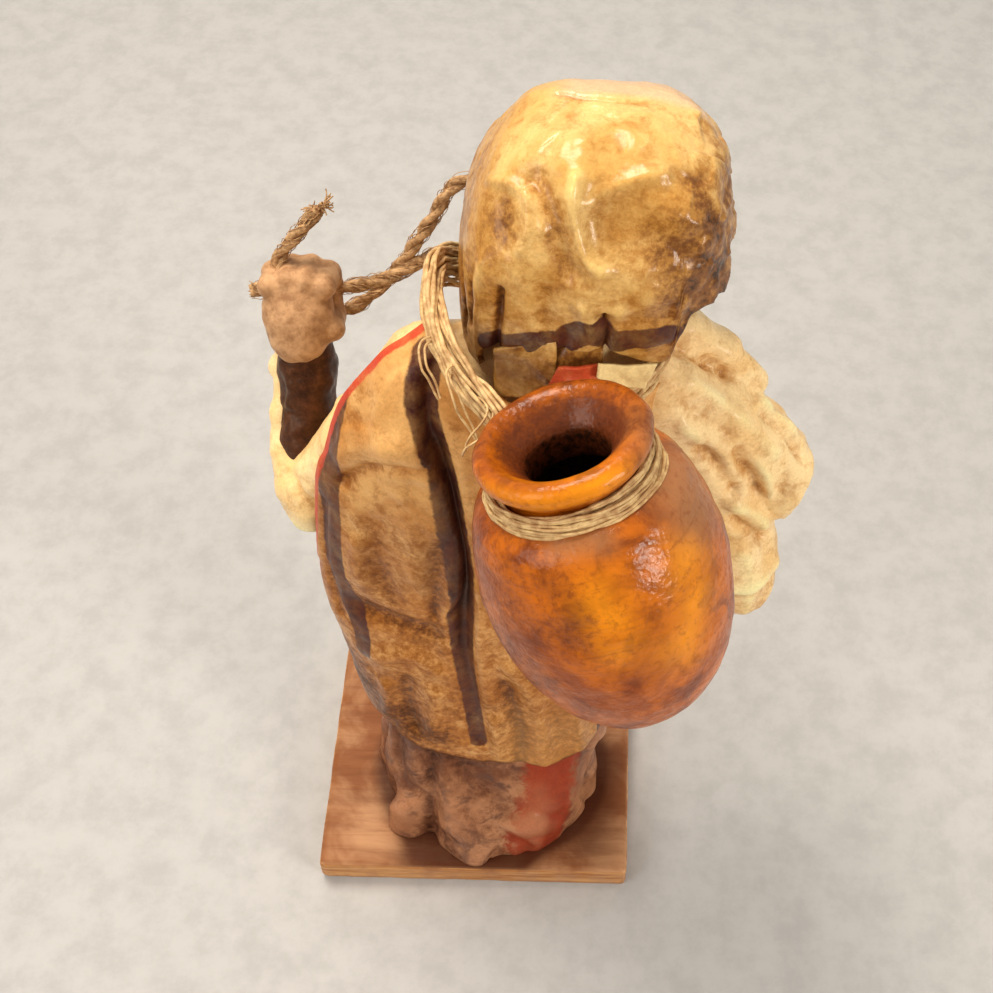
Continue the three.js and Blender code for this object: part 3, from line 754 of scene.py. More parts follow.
# Each fold: the places it runs through, its width, how far it stands out, and how dark it is painted, if it
# is; that darkness is mostly painted shade in a valley.
SKIRT_FOLDS = [
    ([(18, 19, 9), (15, 17, 24), (13, 14, 40), (15, 11, 56)], 3.2, 1.9),
    ([(0, 26, 9), (4, 22, 20), (9, 17.5, 32)], 4.2, 2),
    ([(-14, 23, 20), (-9, 19, 30), (-6, 16, 42)], 3.6, 1.6),
    ([(-26, 8, 9), (-26, 6, 30), (-23, 4, 50)], 3.4, 1.9),
    ([(-22, -12, 9), (-21, -8, 34), (-18, -8, 60), (-14, -11, 90)], 3.2, 1.8),
    ([(-8, -21, 9), (-9, -16, 30), (-11, -13, 60), (-14, -13, 95)], 3, 1.7),
    ([(8, -21, 9), (5, -15, 32), (0, -12, 60)], 3, 1.9),
    ([(21, -10, 9), (20, -8, 32), (14, -7, 58)], 3.2, 1.8),
    ([(11, 23, 9), (9, 19, 22), (10, 15, 36)], 2.4, -2.6),
    ([(-14, 27, 9), (-6, 23.5, 18), (1, 19.5, 28), (5, 16, 40)], 2.2, -2.6),
    ([(-20, 19, 9), (-19, 15, 26), (-18, 11, 44)], 2.4, -2.2),
    ([(-26, -2, 9), (-25, -2, 30), (-20, -3, 60)], 2.4, -2),
    ([(0, -22, 9), (-2, -16, 30), (-6, -12, 62)], 2.2, -2.2),
    ([(-15, -18, 9), (-15, -13, 34), (-14, -12, 70)], 2.2, -1.8),
    ([(22, 6, 9), (21, 4, 30), (15, 3, 58)], 2.4, -1.9),
]
BODY_SQUARE = 2.2


def make_skirt(material):
    """The gathered skirt, closed at its foot and at its top, which the shirt covers."""
    turns, levels = 240, 130
    foot, top = 8.55, 114
    height = 8.6 + (top - 8.6) * np.linspace(1, 0, levels) ** 1.15
    angle = np.linspace(0, TURN, turns, endpoint=False)
    grid = np.zeros((levels, turns, 3))
    for i, (cx, cy, half_width, half_depth, flute) in enumerate(row_at(BODY_RINGS, height)):
        pleat = 0.5 * flute * np.cos(8 * angle + 0.5)
        x, y = oval(angle, half_width + pleat, half_depth + pleat, BODY_SQUARE)
        grid[i] = np.stack([cx + x, cy + y, np.full(turns, height[i])], 1)

    def relief(p):
        z = p[:, 2]
        crushed = 1.3 * creased(p * [1, 1, 0.5], 15, 21) + 0.35 * creased(p, 7, 22)
        folds = folded(p, SKIRT_FOLDS, 14)[0] * 0.8 + (0.5 + 0.8 * smooth(60, 20, z)) * crushed
        return -0.8 * smooth(94, 101, z) + smooth(0, 10, 112 - z) * folds

    low = relief(grid.reshape(-1, 3))
    grid = press(grid, True, relief)
    grid[:, :, 2] = np.clip(grid[:, :, 2], foot, 116)
    grid[-1, :, 2] = foot
    points = grid.reshape(-1, 3)
    x, _, z = points.T
    # Painted shade in the skirt's hollows and under the serape's hem on the figure's left; darker and
    # mottled towards its foot.
    stain_and_shade = 0.4 * smooth(24, 40, z) * smooth(-14, -4, x) + 0.5 * smooth(0.2, -2.4, low)
    stain_and_shade = stain_and_shade + 0.3 * smooth(40, 12, z) * (0.4 + 0.5 * mottle(points, 9, 31))
    red = 9 - 10.2 * near(points, [(-15, 24, 14), (-18, 22, 26), (-20, 15, 42)], 8.5)
    # Painted highlight, with wear, on the raised folds low on the skirt.
    wear_and_highlight = 0.8 * smooth(0.6, 2.6, low) * smooth(60, 30, z)
    top_cap, foot_cap = (np.tile(row.mean(0), (1, turns, 1)) for row in (grid[0], grid[-1]))
    whole = np.vstack([top_cap, grid, foot_cap])
    ends = lambda values, last=0.0: np.concatenate([np.zeros(turns), values, np.full(turns, last)])
    marks = {"wear_and_highlight": ends(wear_and_highlight), "stain_and_shade": ends(stain_and_shade, 1.0), "ruddy": ends(smooth(9, 0, red))}
    faces = grid_faces(len(whole), turns, True)
    paper_piece("long_skirt", whole.reshape(-1, 3), faces, material, marks, ["figure"])


def body_shape(points, grow=0.0):
    """The body as far as the shirt covers it, grown a little."""
    waist, neck = 100, 168
    cx, cy, half_width, half_depth, _ = row_at(BODY_RINGS, points[:, 2]).T
    x, y = (points[:, 0] - cx) / (half_width + grow), (points[:, 1] - cy) / (half_depth + grow)
    far = (np.abs(x) ** BODY_SQUARE + np.abs(y) ** BODY_SQUARE) ** (1 / BODY_SQUARE)
    side = (far - 1) * np.minimum(half_width, half_depth)
    return np.maximum(np.maximum(side, points[:, 2] - neck), waist - points[:, 2])


# Creases of the shirt and sleeves, as in the folds above; where one is darkened, that is painted shade in
# the crease.
SLEEVE_CREASES = [
    ([(-35, -6, 156), (-39.8, -6.1, 153.4), (-45.4, -8, 147.5), (-51.6, -8.3, 140.6)], 1.1, -1.9, 1.1),
    ([(-52.6, -6.2, 139), (-56.7, -6.6, 133.5), (-60.3, -6, 129.4), (-63.2, -5, 126.6)], 0.8, -1.5, 0.9),
    ([(-53.5, -7.6, 140.2), (-58, -8.4, 134.4), (-63.5, -8, 128.4)], 1.5, 1.3),
    ([(-39.8, -2.1, 151.7), (-45.4, -2.7, 146.5), (-51.2, -1.9, 140.8), (-56.6, -2.6, 132.3)], 1.6, 1.1),
    ([(-38.5, 0.2, 148.6), (-43.8, 0.4, 144), (-48.6, 0.6, 139.4)], 1, -0.8, 0.45),
    ([(-39, 1.6, 145), (-42.5, 2.6, 141.1), (-45.1, 2.9, 139.6), (-48, 2.4, 134.1)], 1.2, 0.9),
    ([(-42.8, 2.5, 138), (-45.5, 2.3, 135), (-48, 0.5, 128.3), (-50, 1.2, 125.5)], 1.4, -1.9, 0.9),
    ([(-49.6, 0.8, 136), (-50.5, 0.9, 133.3), (-52.6, -0.8, 127.5), (-54.8, -0.9, 122.7)], 1.2, -1.7, 0.8),
    ([(-52.6, 0.2, 134), (-55.2, -0.4, 128), (-57, -0.8, 121.4)], 1, 1.1),
    ([(-59, -2, 126), (-58.6, -2.2, 119.4)], 1.2, -1, 0.5),
    ([(-50.4, 1.9, 122), (-53.6, 1, 118.4), (-56.3, 0.6, 114.5)], 1.6, 1.4),
    ([(-50.6, 3, 117.4), (-53.6, 2.4, 114.3), (-57.6, -0.4, 108.4)], 1.1, -1.8, 0.7),
    ([(-53, 2.9, 109.9), (-55.3, 4.3, 101.6), (-55.7, 4, 89.8)], 2, 0.9),
    ([(-57.6, 1, 106), (-58.8, 1.4, 98), (-58.6, 1.2, 90)], 1.4, -0.8, 0.3),
    ([(-38, -14, 156), (-45, -15, 150), (-52, -16, 140)], 2, 1.4),
    ([(-44, -18, 140), (-50, -19, 131), (-55, -18, 122)], 1.6, -1.5, 0.5),
    ([(-50, 2.6, 112), (-56, 2.2, 110), (-61, -1, 108)], 1.5, -1.4, 0.5),
    ([(-46, 3, 96), (-54, 5, 99), (-61, 1, 100)], 1.8, 1.2),
    ([(30.4, -1.8, 113), (27.7, -0.8, 111), (32.4, -4.8, 115.2)], 1.4, -1.5, 0.6),
    ([(24, -2, 104), (30, -1.5, 103), (36, -5, 104)], 1.8, 1.2),
    ([(-12, -19, 150), (-10, -18, 135), (-12, -15.5, 118)], 1.8, -1.4, 0.4),
    ([(-26, -19.5, 150), (-26, -18, 136), (-22, -15.5, 118)], 1.8, -1.4, 0.4),
    ([(-19, -20.5, 150), (-18.5, -18.6, 135), (-17, -16, 118)], 2.2, 1.2),
]


def make_shirt(material):
    """The shirt's body, the upper arms and both sleeves, with the right cuff hollow at its end."""

    def shape(p):
        form = body_shape(p, 1.3 * smooth(122, 108, p[:, 2]))
        arms = [(merged, 3, LEFT_ARM), (merged, 2, RIGHT_ARM), (merged, 1.6, LEFT_SLEEVE)]
        form = built_up(p, form, arms + [(merged, 0.8, LEFT_STRIP)])
        spot = p - np.array([-61.5, -8.5, 116.8])
        ragged = 0.5 * np.sin(0.9 * spot[:, 1] + 0.5 * spot[:, 2])
        cuff = np.maximum(limb_shape(p, RIGHT_SLEEVE), spot @ np.array([-0.885, -0.08, -0.46]) + ragged)
        cuff = built_up(p, cuff, [(cut_away, 0.5, [(-56.5, -9, 121.5, 4.6), (-67, -8.5, 110, 5.6)])])
        neck = [(-22.4, -14, 167), (8.6, 8, 12)]
        return built_up(p, merged(form, cuff, 0.8), [(merged, 0.5, SLEEVE_ROLL), (cut_away, 0.8, neck)])

    points, faces = carve(shape, (-70, -24, 78), (44, 14, 170), 0.85)
    points = relax(points, faces, 2)
    normals = point_normals(points, faces)
    fold, stain_and_shade = folded(points, SLEEVE_CREASES, 12)
    left = smooth(5, 20, points[:, 0])
    crushed = 0.45 * creased(points, 11, 41) + (0.16 + 0.06 * left) * creased(points, 4.5, 42)
    points = points + normals * (1.15 * fold + crushed)[:, None]
    # Painted shade in the creases and crumpled hollows, darker towards the bottom, with mottling.
    stain_and_shade = 0.7 * stain_and_shade + 0.3 * smooth(-0.1, -1.2, crushed) + 0.25 * smooth(104, 92, points[:, 2])
    stain_and_shade = np.clip(stain_and_shade + 0.1 * mottle(points, 5, 43), 0, 1)
    # Painted highlight, with wear, on the ridges.
    marks = {"stain_and_shade": stain_and_shade, "wear_and_highlight": smooth(0.3, 1.6, fold + crushed)}
    paper_piece("shirt_and_sleeves", points, faces, material, marks)


def make_forearms(material):
    for name, stations, seed in (("forearm_left", LEFT_FOREARM, 51), ("forearm_right", RIGHT_FOREARM, 52)):
        middles = [station[:3] for station in stations]
        low, high = np.min(middles, 0) - 10, np.max(middles, 0) + 10
        points, faces = carve(lambda p: limb_shape(p, stations), low, high, 0.7)
        points = relax(points, faces, 2)
        crushed = 0.4 * creased(points, 6, seed) + 0.2 * crumple(points, 2.6, seed + 5)
        points = points + point_normals(points, faces) * crushed[:, None]
        # Darker all over, with painted shade in the crumpled hollows.
        stain_and_shade = np.clip(0.55 + 0.5 * smooth(0.2, -0.8, crushed), 0, 1)
        paper_piece(name, points, faces, material, {"stain_and_shade": stain_and_shade})


# ---- Hands, feet and head ----


def rough_skin(name, field, low, high, step, material, seed, rough=0.35, dark=None):
    """A modelled form with a rough face and painted shade in its hollows."""
    points, faces = carve(field, low, high, step)
    points = relax(points, faces, 2)
    bumps = rough * (0.5 * crumple(points, 5.5, seed, 7) + 0.4 * mottle(points, 1.6, seed + 1))
    points = points + point_normals(points, faces) * bumps[:, None]
    hollow = relax(points, faces, 10, 0.6) - points
    depth = (hollow * point_normals(points, faces)).sum(1)
    stain_and_shade = np.clip(smooth(0.02, 0.5, depth) + 0.3 * smooth(0.0, -0.3, bumps), 0, 1)
    if dark is not None:
        stain_and_shade = np.clip(stain_and_shade + dark(points), 0, 1)
    piece(name, points, faces, material, {"stain_and_shade": stain_and_shade})


def fist_shape(points, centre, cord, arm):
    """A closed fist: its cord runs through it along one direction, and its forearm comes from below."""
    arm = np.asarray(arm, float) / np.linalg.norm(arm)
    cord = np.asarray(cord, float) - arm * (np.asarray(cord, float) @ arm)
    cord = cord / np.linalg.norm(cord)
    back = -np.cross(cord, arm)
    local = (points - np.asarray(centre, float)) @ np.stack([cord, back, arm], 1)
    palm = egg_shape(local, (0, 1.6, -1.6), (6.6, 4.6, 8))
    form = built_up(local, palm, [(merged, 2, [(0, 1, -4, 5.2), (0, 0.8, -6.6, 5.3)])])
    for along, lift in ((-5.1, 0), (-1.75, 0.9), (1.65, 0.7), (4.9, -0.5)):
        knuckles = [(along, 3.4, 3.6 + lift, 2.1), (along, -1.6, 5.2 + lift, 2.2), (along, -5, 2 + lift, 2)]
        finger = knuckles + [(along, -4.6, -2.4, 1.9), (along, -1.5, -3.6, 1.9)]
        form = merged(form, limb_shape(local, finger, 0.6), 0.9)
    thumb = [(-6, 0.8, -4.6, 2.6), (-5.6, -4.2, -3.6, 2.2), (-1.6, -6.6, -1.2, 1.9), (1.6, -6.6, -0.2, 1.6)]
    return merged(form, limb_shape(local, thumb, 0.8), 0.7)


def make_hands(material):
    cuff = curve_through([(25, -25, 134.5), (29, -21.6, 133), (33, -21.6, 133.5), (37, -25, 134.5)], 8)
    # The left fist's extra darkness is painted shade in a ring round its wrist, where the forearm meets it.
    for name, middle, arm, seed, dark in (
        ("fist_left", (30.5, -28.5, 139), (-0.03, -0.55, 0.83), 61, lambda p: 0.9 * near(p, cuff, 1.5)),
        ("fist_right", (-34, -39, 122.6), (0.38, -0.63, 0.675), 63, None),
    ):
        field = lambda p: fist_shape(p, middle, (1, 0, 0), arm)
        low, high = np.array(middle) - 16, np.array(middle) + 13
        rough_skin(name, field, low, high, 0.5, material, seed, rough=0.4, dark=dark)


# Each toe: how far off the foot's middle, how far forward, and its radius.
TOES = [(-3, -26.6, 1.75), (-1, -27.2, 1.3), (0.8, -26.7, 1.2), (2.3, -25.9, 1.1), (3.6, -24.8, 1)]


def make_feet(material):
    for name, side in (("foot_left", 1), ("foot_right", -1)):
        middle = side * 9.5

        def field(p):
            form = egg_shape(p, (middle, -18.5, 10.6), (4.4, 8.6, 3.4))
            for off, reach, size in TOES:
                root = (middle + side * off * 0.8, -21.5, 10.8, size + 0.4)
                form = merged(form, limb_shape(p, [root, (middle + side * off, reach, 9.9, size)]), 0.5)
            return np.maximum(form, -np.clip(p[:, 2] - 8.7, -5, 50))

        low, high = (middle - 8, -31, 7.4), (middle + 8, -9, 16)
        rough_skin(name, field, low, high, 0.45, material, 71 + side, rough=0.15)


# The head's features in turn, with X measured from its middle to either side.
HEAD_STEPS = [
    (merged, 3.5, [(0, -20.3, 168.6), (10.2, 11, 13.2)]),
    (merged, 3.2, [(0, -27.2, 158.9), (4.6, 3.6, 3.4)]),
    (merged, 3.0, [(6.6, -26.6, 168.8), (3.6, 3.2, 3.6)]),
    (merged, 1.8, [(1.5, -30.6, 179.6, 1.1), (6, -29.9, 180.2, 1.2), (9, -27.2, 178.8, 1)]),
    (cut_away, 1.4, [(5.5, -32, 176.3), (3.3, 2.3, 2.1)]),
    (merged, 0.5, [(5.5, -28.4, 175.9), (2.7, 2.2, 1.9)]),
    (merged, 0.4, [(2.9, -29.6, 175.5, 0.45), (5.4, -30.7, 175.2, 0.55), (8.1, -29, 175.6, 0.45)]),
    (merged, 1.2, [(0, -30.6, 178.4, 1.3), (0, -32.5, 174.4, 1.3), (0, -34, 171.2, 1.75)]),
    (merged, 0.8, [(1.9, -32.6, 170.6), (1.3, 1.5, 1.15)]),
    (cut_away, 0.3, [(1.3, -33.4, 169.4), (0.6, 0.8, 0.5)]),
    (merged, 0.7, [(0, -32.1, 166, 0.95), (1.6, -31.9, 166.2, 0.9), (4, -30.4, 165.4, 0.5)]),
    (merged, 0.7, [(0, -31.8, 164, 1.15), (2.2, -31.2, 164.1, 0.95), (3.9, -30.2, 165, 0.5)]),
    (cut_away, 0.4, [(0, -33.1, 165.1, 0.28), (3.8, -31, 165.25, 0.25)]),
]
# Painted lines on the face: the places they run through, their number of points, width and strength.
FACE_LINES = [
    ([(2.4, 0, 180.1), (5.8, 0, 181.1), (8.8, 0, 179.6)], 8, 0.75, 0.75),
    ([(3, 0, 175.4), (5.4, 0, 174.9), (8, 0, 175.5)], 8, 0.42, 1),
    ([(0, 0, 165.1), (3.8, 0, 165.2)], 6, 0.5, 0.5),
]
HEAD_X = -22.5


def head_shape(p):
    q = np.stack([np.abs(p[:, 0] - HEAD_X), p[:, 1], p[:, 2]], 1)
    form = built_up(q, egg_shape(q, (0, -16, 176), (12.6, 14.4, 15.6)), HEAD_STEPS)
    return built_up(p, form, [(merged, 3, [(-22.4, -13, 150, 7), (-22.5, -14, 163, 6.8)])])


def make_head(skin, hair):
    def painted(p):
        flat = np.abs(p - [HEAD_X, 0, 0]) * [1, 0, 1]
        lines = (much * near(flat, curve_through(line, n), width) for line, n, width, much in FACE_LINES)
        return (p[:, 1] < -24) * sum(lines)

    rough_skin("face_and_neck", head_shape, (-38, -38, 149), (-7, 0, 193), 0.5, skin, 81, 0.16, painted)

    def locks(p):
        skull = egg_shape(p, (HEAD_X, -15.2, 176.3), (13.5, 15.4, 16.4))
        form = built_up(p, skull, [(cut_away, 1, [(HEAD_X, -34.5, 170.5), (9.8, 13.5, 15.5)])])
        q = p - [HEAD_X, 0, 0]
        even = np.abs(q) * [1, 0, 1] + q * [0, 1, 0]
        side_lock = [(11, -23.5, 178, 2.2), (10.6, -21.5, 166, 2.4), (8.8, -15, 158, 2.2)]
        form = built_up(even, form, [(merged, 1.4, side_lock)])
        parting = 0.9 * np.exp(-((q[:, 0] / 0.9) ** 2)) * (p[:, 2] > 180)
        strands = 0.28 * np.sin(1.9 * q[:, 0] * (1 + 0.02 * q[:, 2]) + 0.8 * np.sin(0.3 * p[:, 2]))
        return form + parting + strands

    rough_skin("hair", locks, (-40, -33, 155), (-5, 1, 194), 0.6, hair, 85, rough=0.2)


# ---- The shawl over its head ----

# Degrees round the head, and the height of the shawl's edge there.
SHAWL_RIM = [
    [-60, 183], [-42, 180], [-24, 174], [-8, 169], [0, 161.5], [12, 152.5], [30, 151.6], [40, 153],
    [46, 160.4], [60, 161.6], [75, 164], [88, 164.9], [93, 165.6], [98, 163.8], [108, 161.2],
    [117, 161.8], [121, 167], [130, 170.5], [150, 171], [180, 163], [192, 162], [206, 168], [226, 177],
    [240, 182],
]
HEM_BAND = [
    (-7.2, 1.2, 163.6), (-10.5, 2.6, 164.8), (-13.5, 3.2, 166), (-18.2, 3.6, 167), (-20.6, 3.5, 169),
    (-23, 3.4, 170.4), (-24.6, 3.4, 169.6), (-26, 3.5, 168.2), (-30.5, 3.2, 168.4), (-35.4, 2.2, 168.6),
]
# Folds of the hood; where one is darkened, that is painted shade in its valley, except two ridges on the
# figure's right, which carry stain.
SHAWL_FOLDS = [
    ([(-20.6, -9.5, 196), (-20.3, -6.5, 194.4), (-19.9, -4.2, 192.4)], 3.4, 0.9),
    ([(-20.1, -5, 193.3), (-19.5, -2.5, 190.8), (-20.5, 0, 187.2), (-21.8, 1.3, 183.8), (-24.3, 2, 181.7)],
     1.15, 1.5),
    ([(-24.3, 2, 181.7), (-28, 2.6, 180), (-31, 2.2, 181.5)], 2.2, 0.6),
    ([(-13.6, -6.2, 192.6), (-15.6, -3.7, 191.5), (-16.8, -1, 188.5), (-18, 1.2, 184.4), (-19.4, 2, 180.5)],
     2.4, -1.3, 0.3),
    ([(-12.4, -4.4, 191.4), (-14.2, -2.2, 190), (-15.2, 0, 187)], 0.9, 0.7),
    ([(-23.4, -2.6, 191.6), (-22.6, -0.4, 188.4), (-23.8, 1.2, 185.2)], 2, -0.9, 0.2),
    ([(-7, -10, 187.9), (-9.6, -7, 190.6), (-12.2, -4.4, 190.4), (-12.8, -1.5, 187.3), (-12, -0.2, 183.4)],
     1, 0.7),
    ([(-8.6, -4.6, 188.4), (-9.6, -2.6, 186), (-9.4, -1.2, 183)], 3, -0.7, 0.05),
    ([(-11, 0.4, 181), (-10.6, 1, 176)], 3.6, 0.6),
    ([(-22, -2.2, 190.9), (-24.5, -3.7, 192.3), (-28.1, -5.2, 193.6), (-33.2, -6.6, 193.9)], 1.3, 0.9),
    ([(-27.5, -1.2, 188.6), (-31, -0.8, 187)], 4.6, -1.7, 0.12),
    ([(-35, -2.5, 189), (-38, -4, 186)], 3, 0.8, 0.3),
    ([(-24.1, 2.8, 177.1)], 1.7, 1),
    ([(-20.3, 2.6, 178.8)], 1.5, 0.8),
    ([(-27.2, 3, 174.6)], 1.8, 0.9),
    ([(-31.6, 2.8, 177.4)], 2.4, 0.9),
    ([(-22.2, 3, 179)], 1, -0.6, 0.35),
    ([(-16, 2.9, 177.5), (-15.4, 3, 170)], 1.8, -0.7, 0.15),
    ([(-21.6, 3.2, 175), (-22.8, 3.4, 171.5), (-23.6, 3.4, 167.5)], 1, 1.6),
    ([(-25, 3.3, 173), (-25.2, 3.4, 169), (-25, 3.5, 163)], 0.75, -2, 1.3),
    ([(-18.9, 3.5, 169), (-18.8, 3.6, 163.5)], 0.8, -0.8, 0.4),
    ([(-29, 3.2, 172), (-34, 2.6, 172)], 1.8, -0.6, 0.1),
    ([(-37, -7, 192.6), (-39.6, -6, 189.6), (-41.6, -5.4, 185.5)], 1.9, -0.5, 0.2),
    ([(-32.5, -0.2, 182.8), (-36.6, -1.2, 184.6), (-40.6, -4, 186.4)], 1.8, -0.7, 0.4),
    ([(-36.6, -0.2, 180), (-39.2, -1.6, 177.4)], 1.2, 0.7, 0.1),
    ([(-16.6, -21.4, 195.5), (-21.6, -19.8, 196.6), (-29, -19.4, 196.5), (-38.4, -21.7, 192.6)],
     0.6, -0.4, 0.35),
    ([(-1.5, -9.2, 172.5), (-1.8, -5.1, 166), (-2.2, -5.1, 159.2)], 0.9, -1.1, 0.6),
    ([(-8.8, 0.7, 175.5), (-8.4, 1.2, 170.4), (-7.6, 1.2, 162), (-6.6, 1.6, 154)], 0.75, -2, 1.1),
    ([(-5.6, -1.4, 178), (-5.4, -1, 168), (-5, -0.6, 158)], 1.5, 0.8),
    ([(-3.4, -2.6, 176), (-3, -2.4, 164)], 0.8, -0.8, 0.6),
    ([(-42.6, -9, 178), (-39.6, -3.6, 173), (-37.8, 0.2, 171)], 1.6, -1, 0.5),
]
# Each stain: its middle and its width.
STAINS = [
    ((-42.8, -5.2, 182.2), 3.6), ((-39, -0.7, 181.2), 3), ((-36.6, -9.8, 193.7), 2.6),
    ((-43.5, -16.4, 186), 4), ((-10, -4.3, 186.6), 4.2), ((-40.2, -3.6, 179.5), 4),
    ((-36.3, 1.7, 175.9), 2.6), ((-40.5, -1.5, 172.5), 3.6), ((-44.5, -8, 175), 4.5),
]
FRONT = 270
FACE_OPENING = (32, 64)
OVER_FACE = 186
BELOW_SPRING = 20
PAPER_THICK = 1.0


def shawl_points(degrees, rise):
    """Points on the smooth hood, by the way round it and the angle up its dome."""
    s = SHAWL
    above = np.maximum(rise, 0)
    closing = np.maximum(np.cos(above), 0) ** (2 / s["dome"])
    lift = np.sin(above) ** (2 / s["dome"])
    taper = 1 - s["waist"] * np.minimum(-np.minimum(rise, 0), 1) ** 2
    x, y = oval(np.radians(degrees), *(half * closing * taper for half in s["half"]), s["square"])
    z = s["spring"] + (s["crown"] - s["spring"]) * lift + BELOW_SPRING * np.minimum(rise, 0)
    (cx, cy), (lean_x, lean_y) = s["centre"], s["lean"]
    return np.stack([cx + lean_x * lift + x, cy + lean_y * lift + y, z], -1)


def shawl_rim(degrees):
    """The height of the shawl's edge, which goes up over the face."""
    turned = np.where(degrees > FRONT, degrees - 360, degrees)
    hem = row_at(SHAWL_RIM, np.clip(turned, -60, 240))[:, 0]
    opening = 1 - smooth(*FACE_OPENING, np.abs(degrees - FRONT))
    return hem + (OVER_FACE - hem) * opening


def make_shawl(material):
    """The hood of paper, from its crown down to its torn edge, pressed into folds."""
    turns, rows = 300, 124
    degrees = np.linspace(0, 360, turns, endpoint=False)
    ring = np.stack([np.cos(np.radians(degrees)) * 20, np.sin(np.radians(degrees)) * 20, 0 * degrees], 1)
    torn = smooth(120, 150, degrees) * smooth(235, 190, degrees)
    rim = shawl_rim(degrees) + (0.5 * mottle(ring, 2.4, 91) + 0.9 * mottle(ring, 6, 92) * torn)
    above = rim - SHAWL["spring"]
    share = np.maximum(above / (SHAWL["crown"] - SHAWL["spring"]), 0)
    start = np.where(above < 0, above / BELOW_SPRING, np.arcsin(share ** (SHAWL["dome"] / 2)))
    down = np.linspace(1, 0, rows)
    outer = np.stack([shawl_points(degrees, start + (math.pi / 2 - start) * t) for t in down])

    def relief(p):
        right = smooth(-30, -44, p[:, 0])
        broad = (0.4 + 0.3 * right) * crumple(p, 11, 93, 7)
        height = folded(p, SHAWL_FOLDS, 16)[0] + broad + (0.12 + 0.45 * right) * creased(p, 4.5, 94)
        return height - 0.6 + 0.08 * mottle(p, 1.6, 95)

    flat = outer.reshape(-1, 3)
    x, y, z = flat.T
    # Darkness from the folds: mostly painted shade in their valleys. The stains that follow are brown
    # stains on the paper.
    dark = folded(flat, SHAWL_FOLDS, 16)[1]
    rise = relief(flat)
    for place, width in STAINS:
        dark += 0.6 * near(flat, [place], width) * (0.6 + 0.7 * mottle(flat, 1.8, 96))
    # The hood's side on the figure's right (-X) is darker: painted shade, speckled with stain.
    side = smooth(-29, -43, x) * smooth(-30, -8, y) * smooth(197, 188, z)
    speckled = 1 + 0.5 * mottle(flat, 2.4, 99) + 0.4 * mottle(flat, 1.2, 100)
    patches_and_shade = 0.18 * mottle(flat, 6, 97) + 0.12 * mottle(flat, 2.6, 98)
    # Painted shade lower down the hood, on the figure's right, and on the figure's left below the crown.
    lower = 0.2 * smooth(192, 176, z) + 0.22 * smooth(-24, -34, x) * smooth(197, 190, z)
    lower = lower + 0.32 * smooth(-15, -6, x) * smooth(196, 188, z)
    worn_edge = 0.7 * smooth(0.03, 0.0, np.repeat(down, turns)) * (x < -36)
    # With painted shade in the hood's hollows as well.
    stain_and_shade = 0.68 * dark + 0.26 * smooth(-0.4, -1.8, rise) + 0.36 * side * speckled + lower
    stain_and_shade = np.clip(stain_and_shade + np.maximum(patches_and_shade, -0.1) + worn_edge, 0, 1.2)
    band = away_from(flat - [0, 0, -0.5], curve_through(HEM_BAND, 40)) - 2.6 + 0.3 * smooth(-24, -30, x)
    # Painted highlight, with wear, on the ridges and across the front of the crown.
    wear_and_highlight = np.clip(0.9 * smooth(0.0, 1.0, rise) + 0.5 * smooth(-19, -26, y) * smooth(190, 196, z), 0, 1)
    dust = smooth(-19.5, -22, y) * smooth(188, 193, z) * smooth(-14, -20, x)
    pressed = press(outer, True, relief)
    facing = grid_normals(pressed, True)
    facing[0] = (0, 0, 1)
    inner = pressed - facing * PAPER_THICK
    pressed[0] = pressed[0].mean(0)
    inner[0] = pressed[0] - (0, 0, PAPER_THICK)
    points, faces = walled(pressed, inner, True, closed_first=True)
    marks = {"stain_and_shade": both_sides(stain_and_shade, 0.55), "purple": both_sides(band, 9.0)}
    marks.update({"wear_and_highlight": both_sides(wear_and_highlight, 0.0), "dust": both_sides(dust, 0.0)})
    paper_piece("shawl", points, faces, material, marks, ["head_shawl"])


def make_scrap(name, upper, lower, material, slot, seed, dark, bulge, red):
    """A small flap of paper between two edges, each a line of places from left to right."""
    count, thick = 24, 0.7
    share = np.linspace(0, 1, count)[:, None, None]
    grid = curve_through(upper, count)[None] * (1 - share) + curve_through(lower, count)[None] * share
    across = np.sin(np.pi * share[:, 0, 0])[None, :]
    belly = bulge * across * np.sin(np.pi * (0.3 + 0.6 * share[..., 0]))
    grid = grid + grid_normals(grid, False) * belly[..., None]
    grid = press(grid, False, lambda p: 0.5 * crumple(p, 4.5, seed) + 0.15 * mottle(p, 1.5, seed))
    points, faces = walled(grid, grid - grid_normals(grid, False) * thick, False)
    # A negative darkness paints the scrap lighter than its paper, and it then also gets an even painted
    # highlight: both are painted light.
    marks = {"stain_and_shade": np.clip(dark + 0.3 * mottle(points, 3, seed + 3), -0.3, 1)}
    marks["wear_and_highlight"] = np.full(len(points), 0.5 if dark < 0 else 0.0)
    if red:
        marks["red"] = np.full(len(points), -1.0)
    paper_piece(name, points, faces, material, marks)


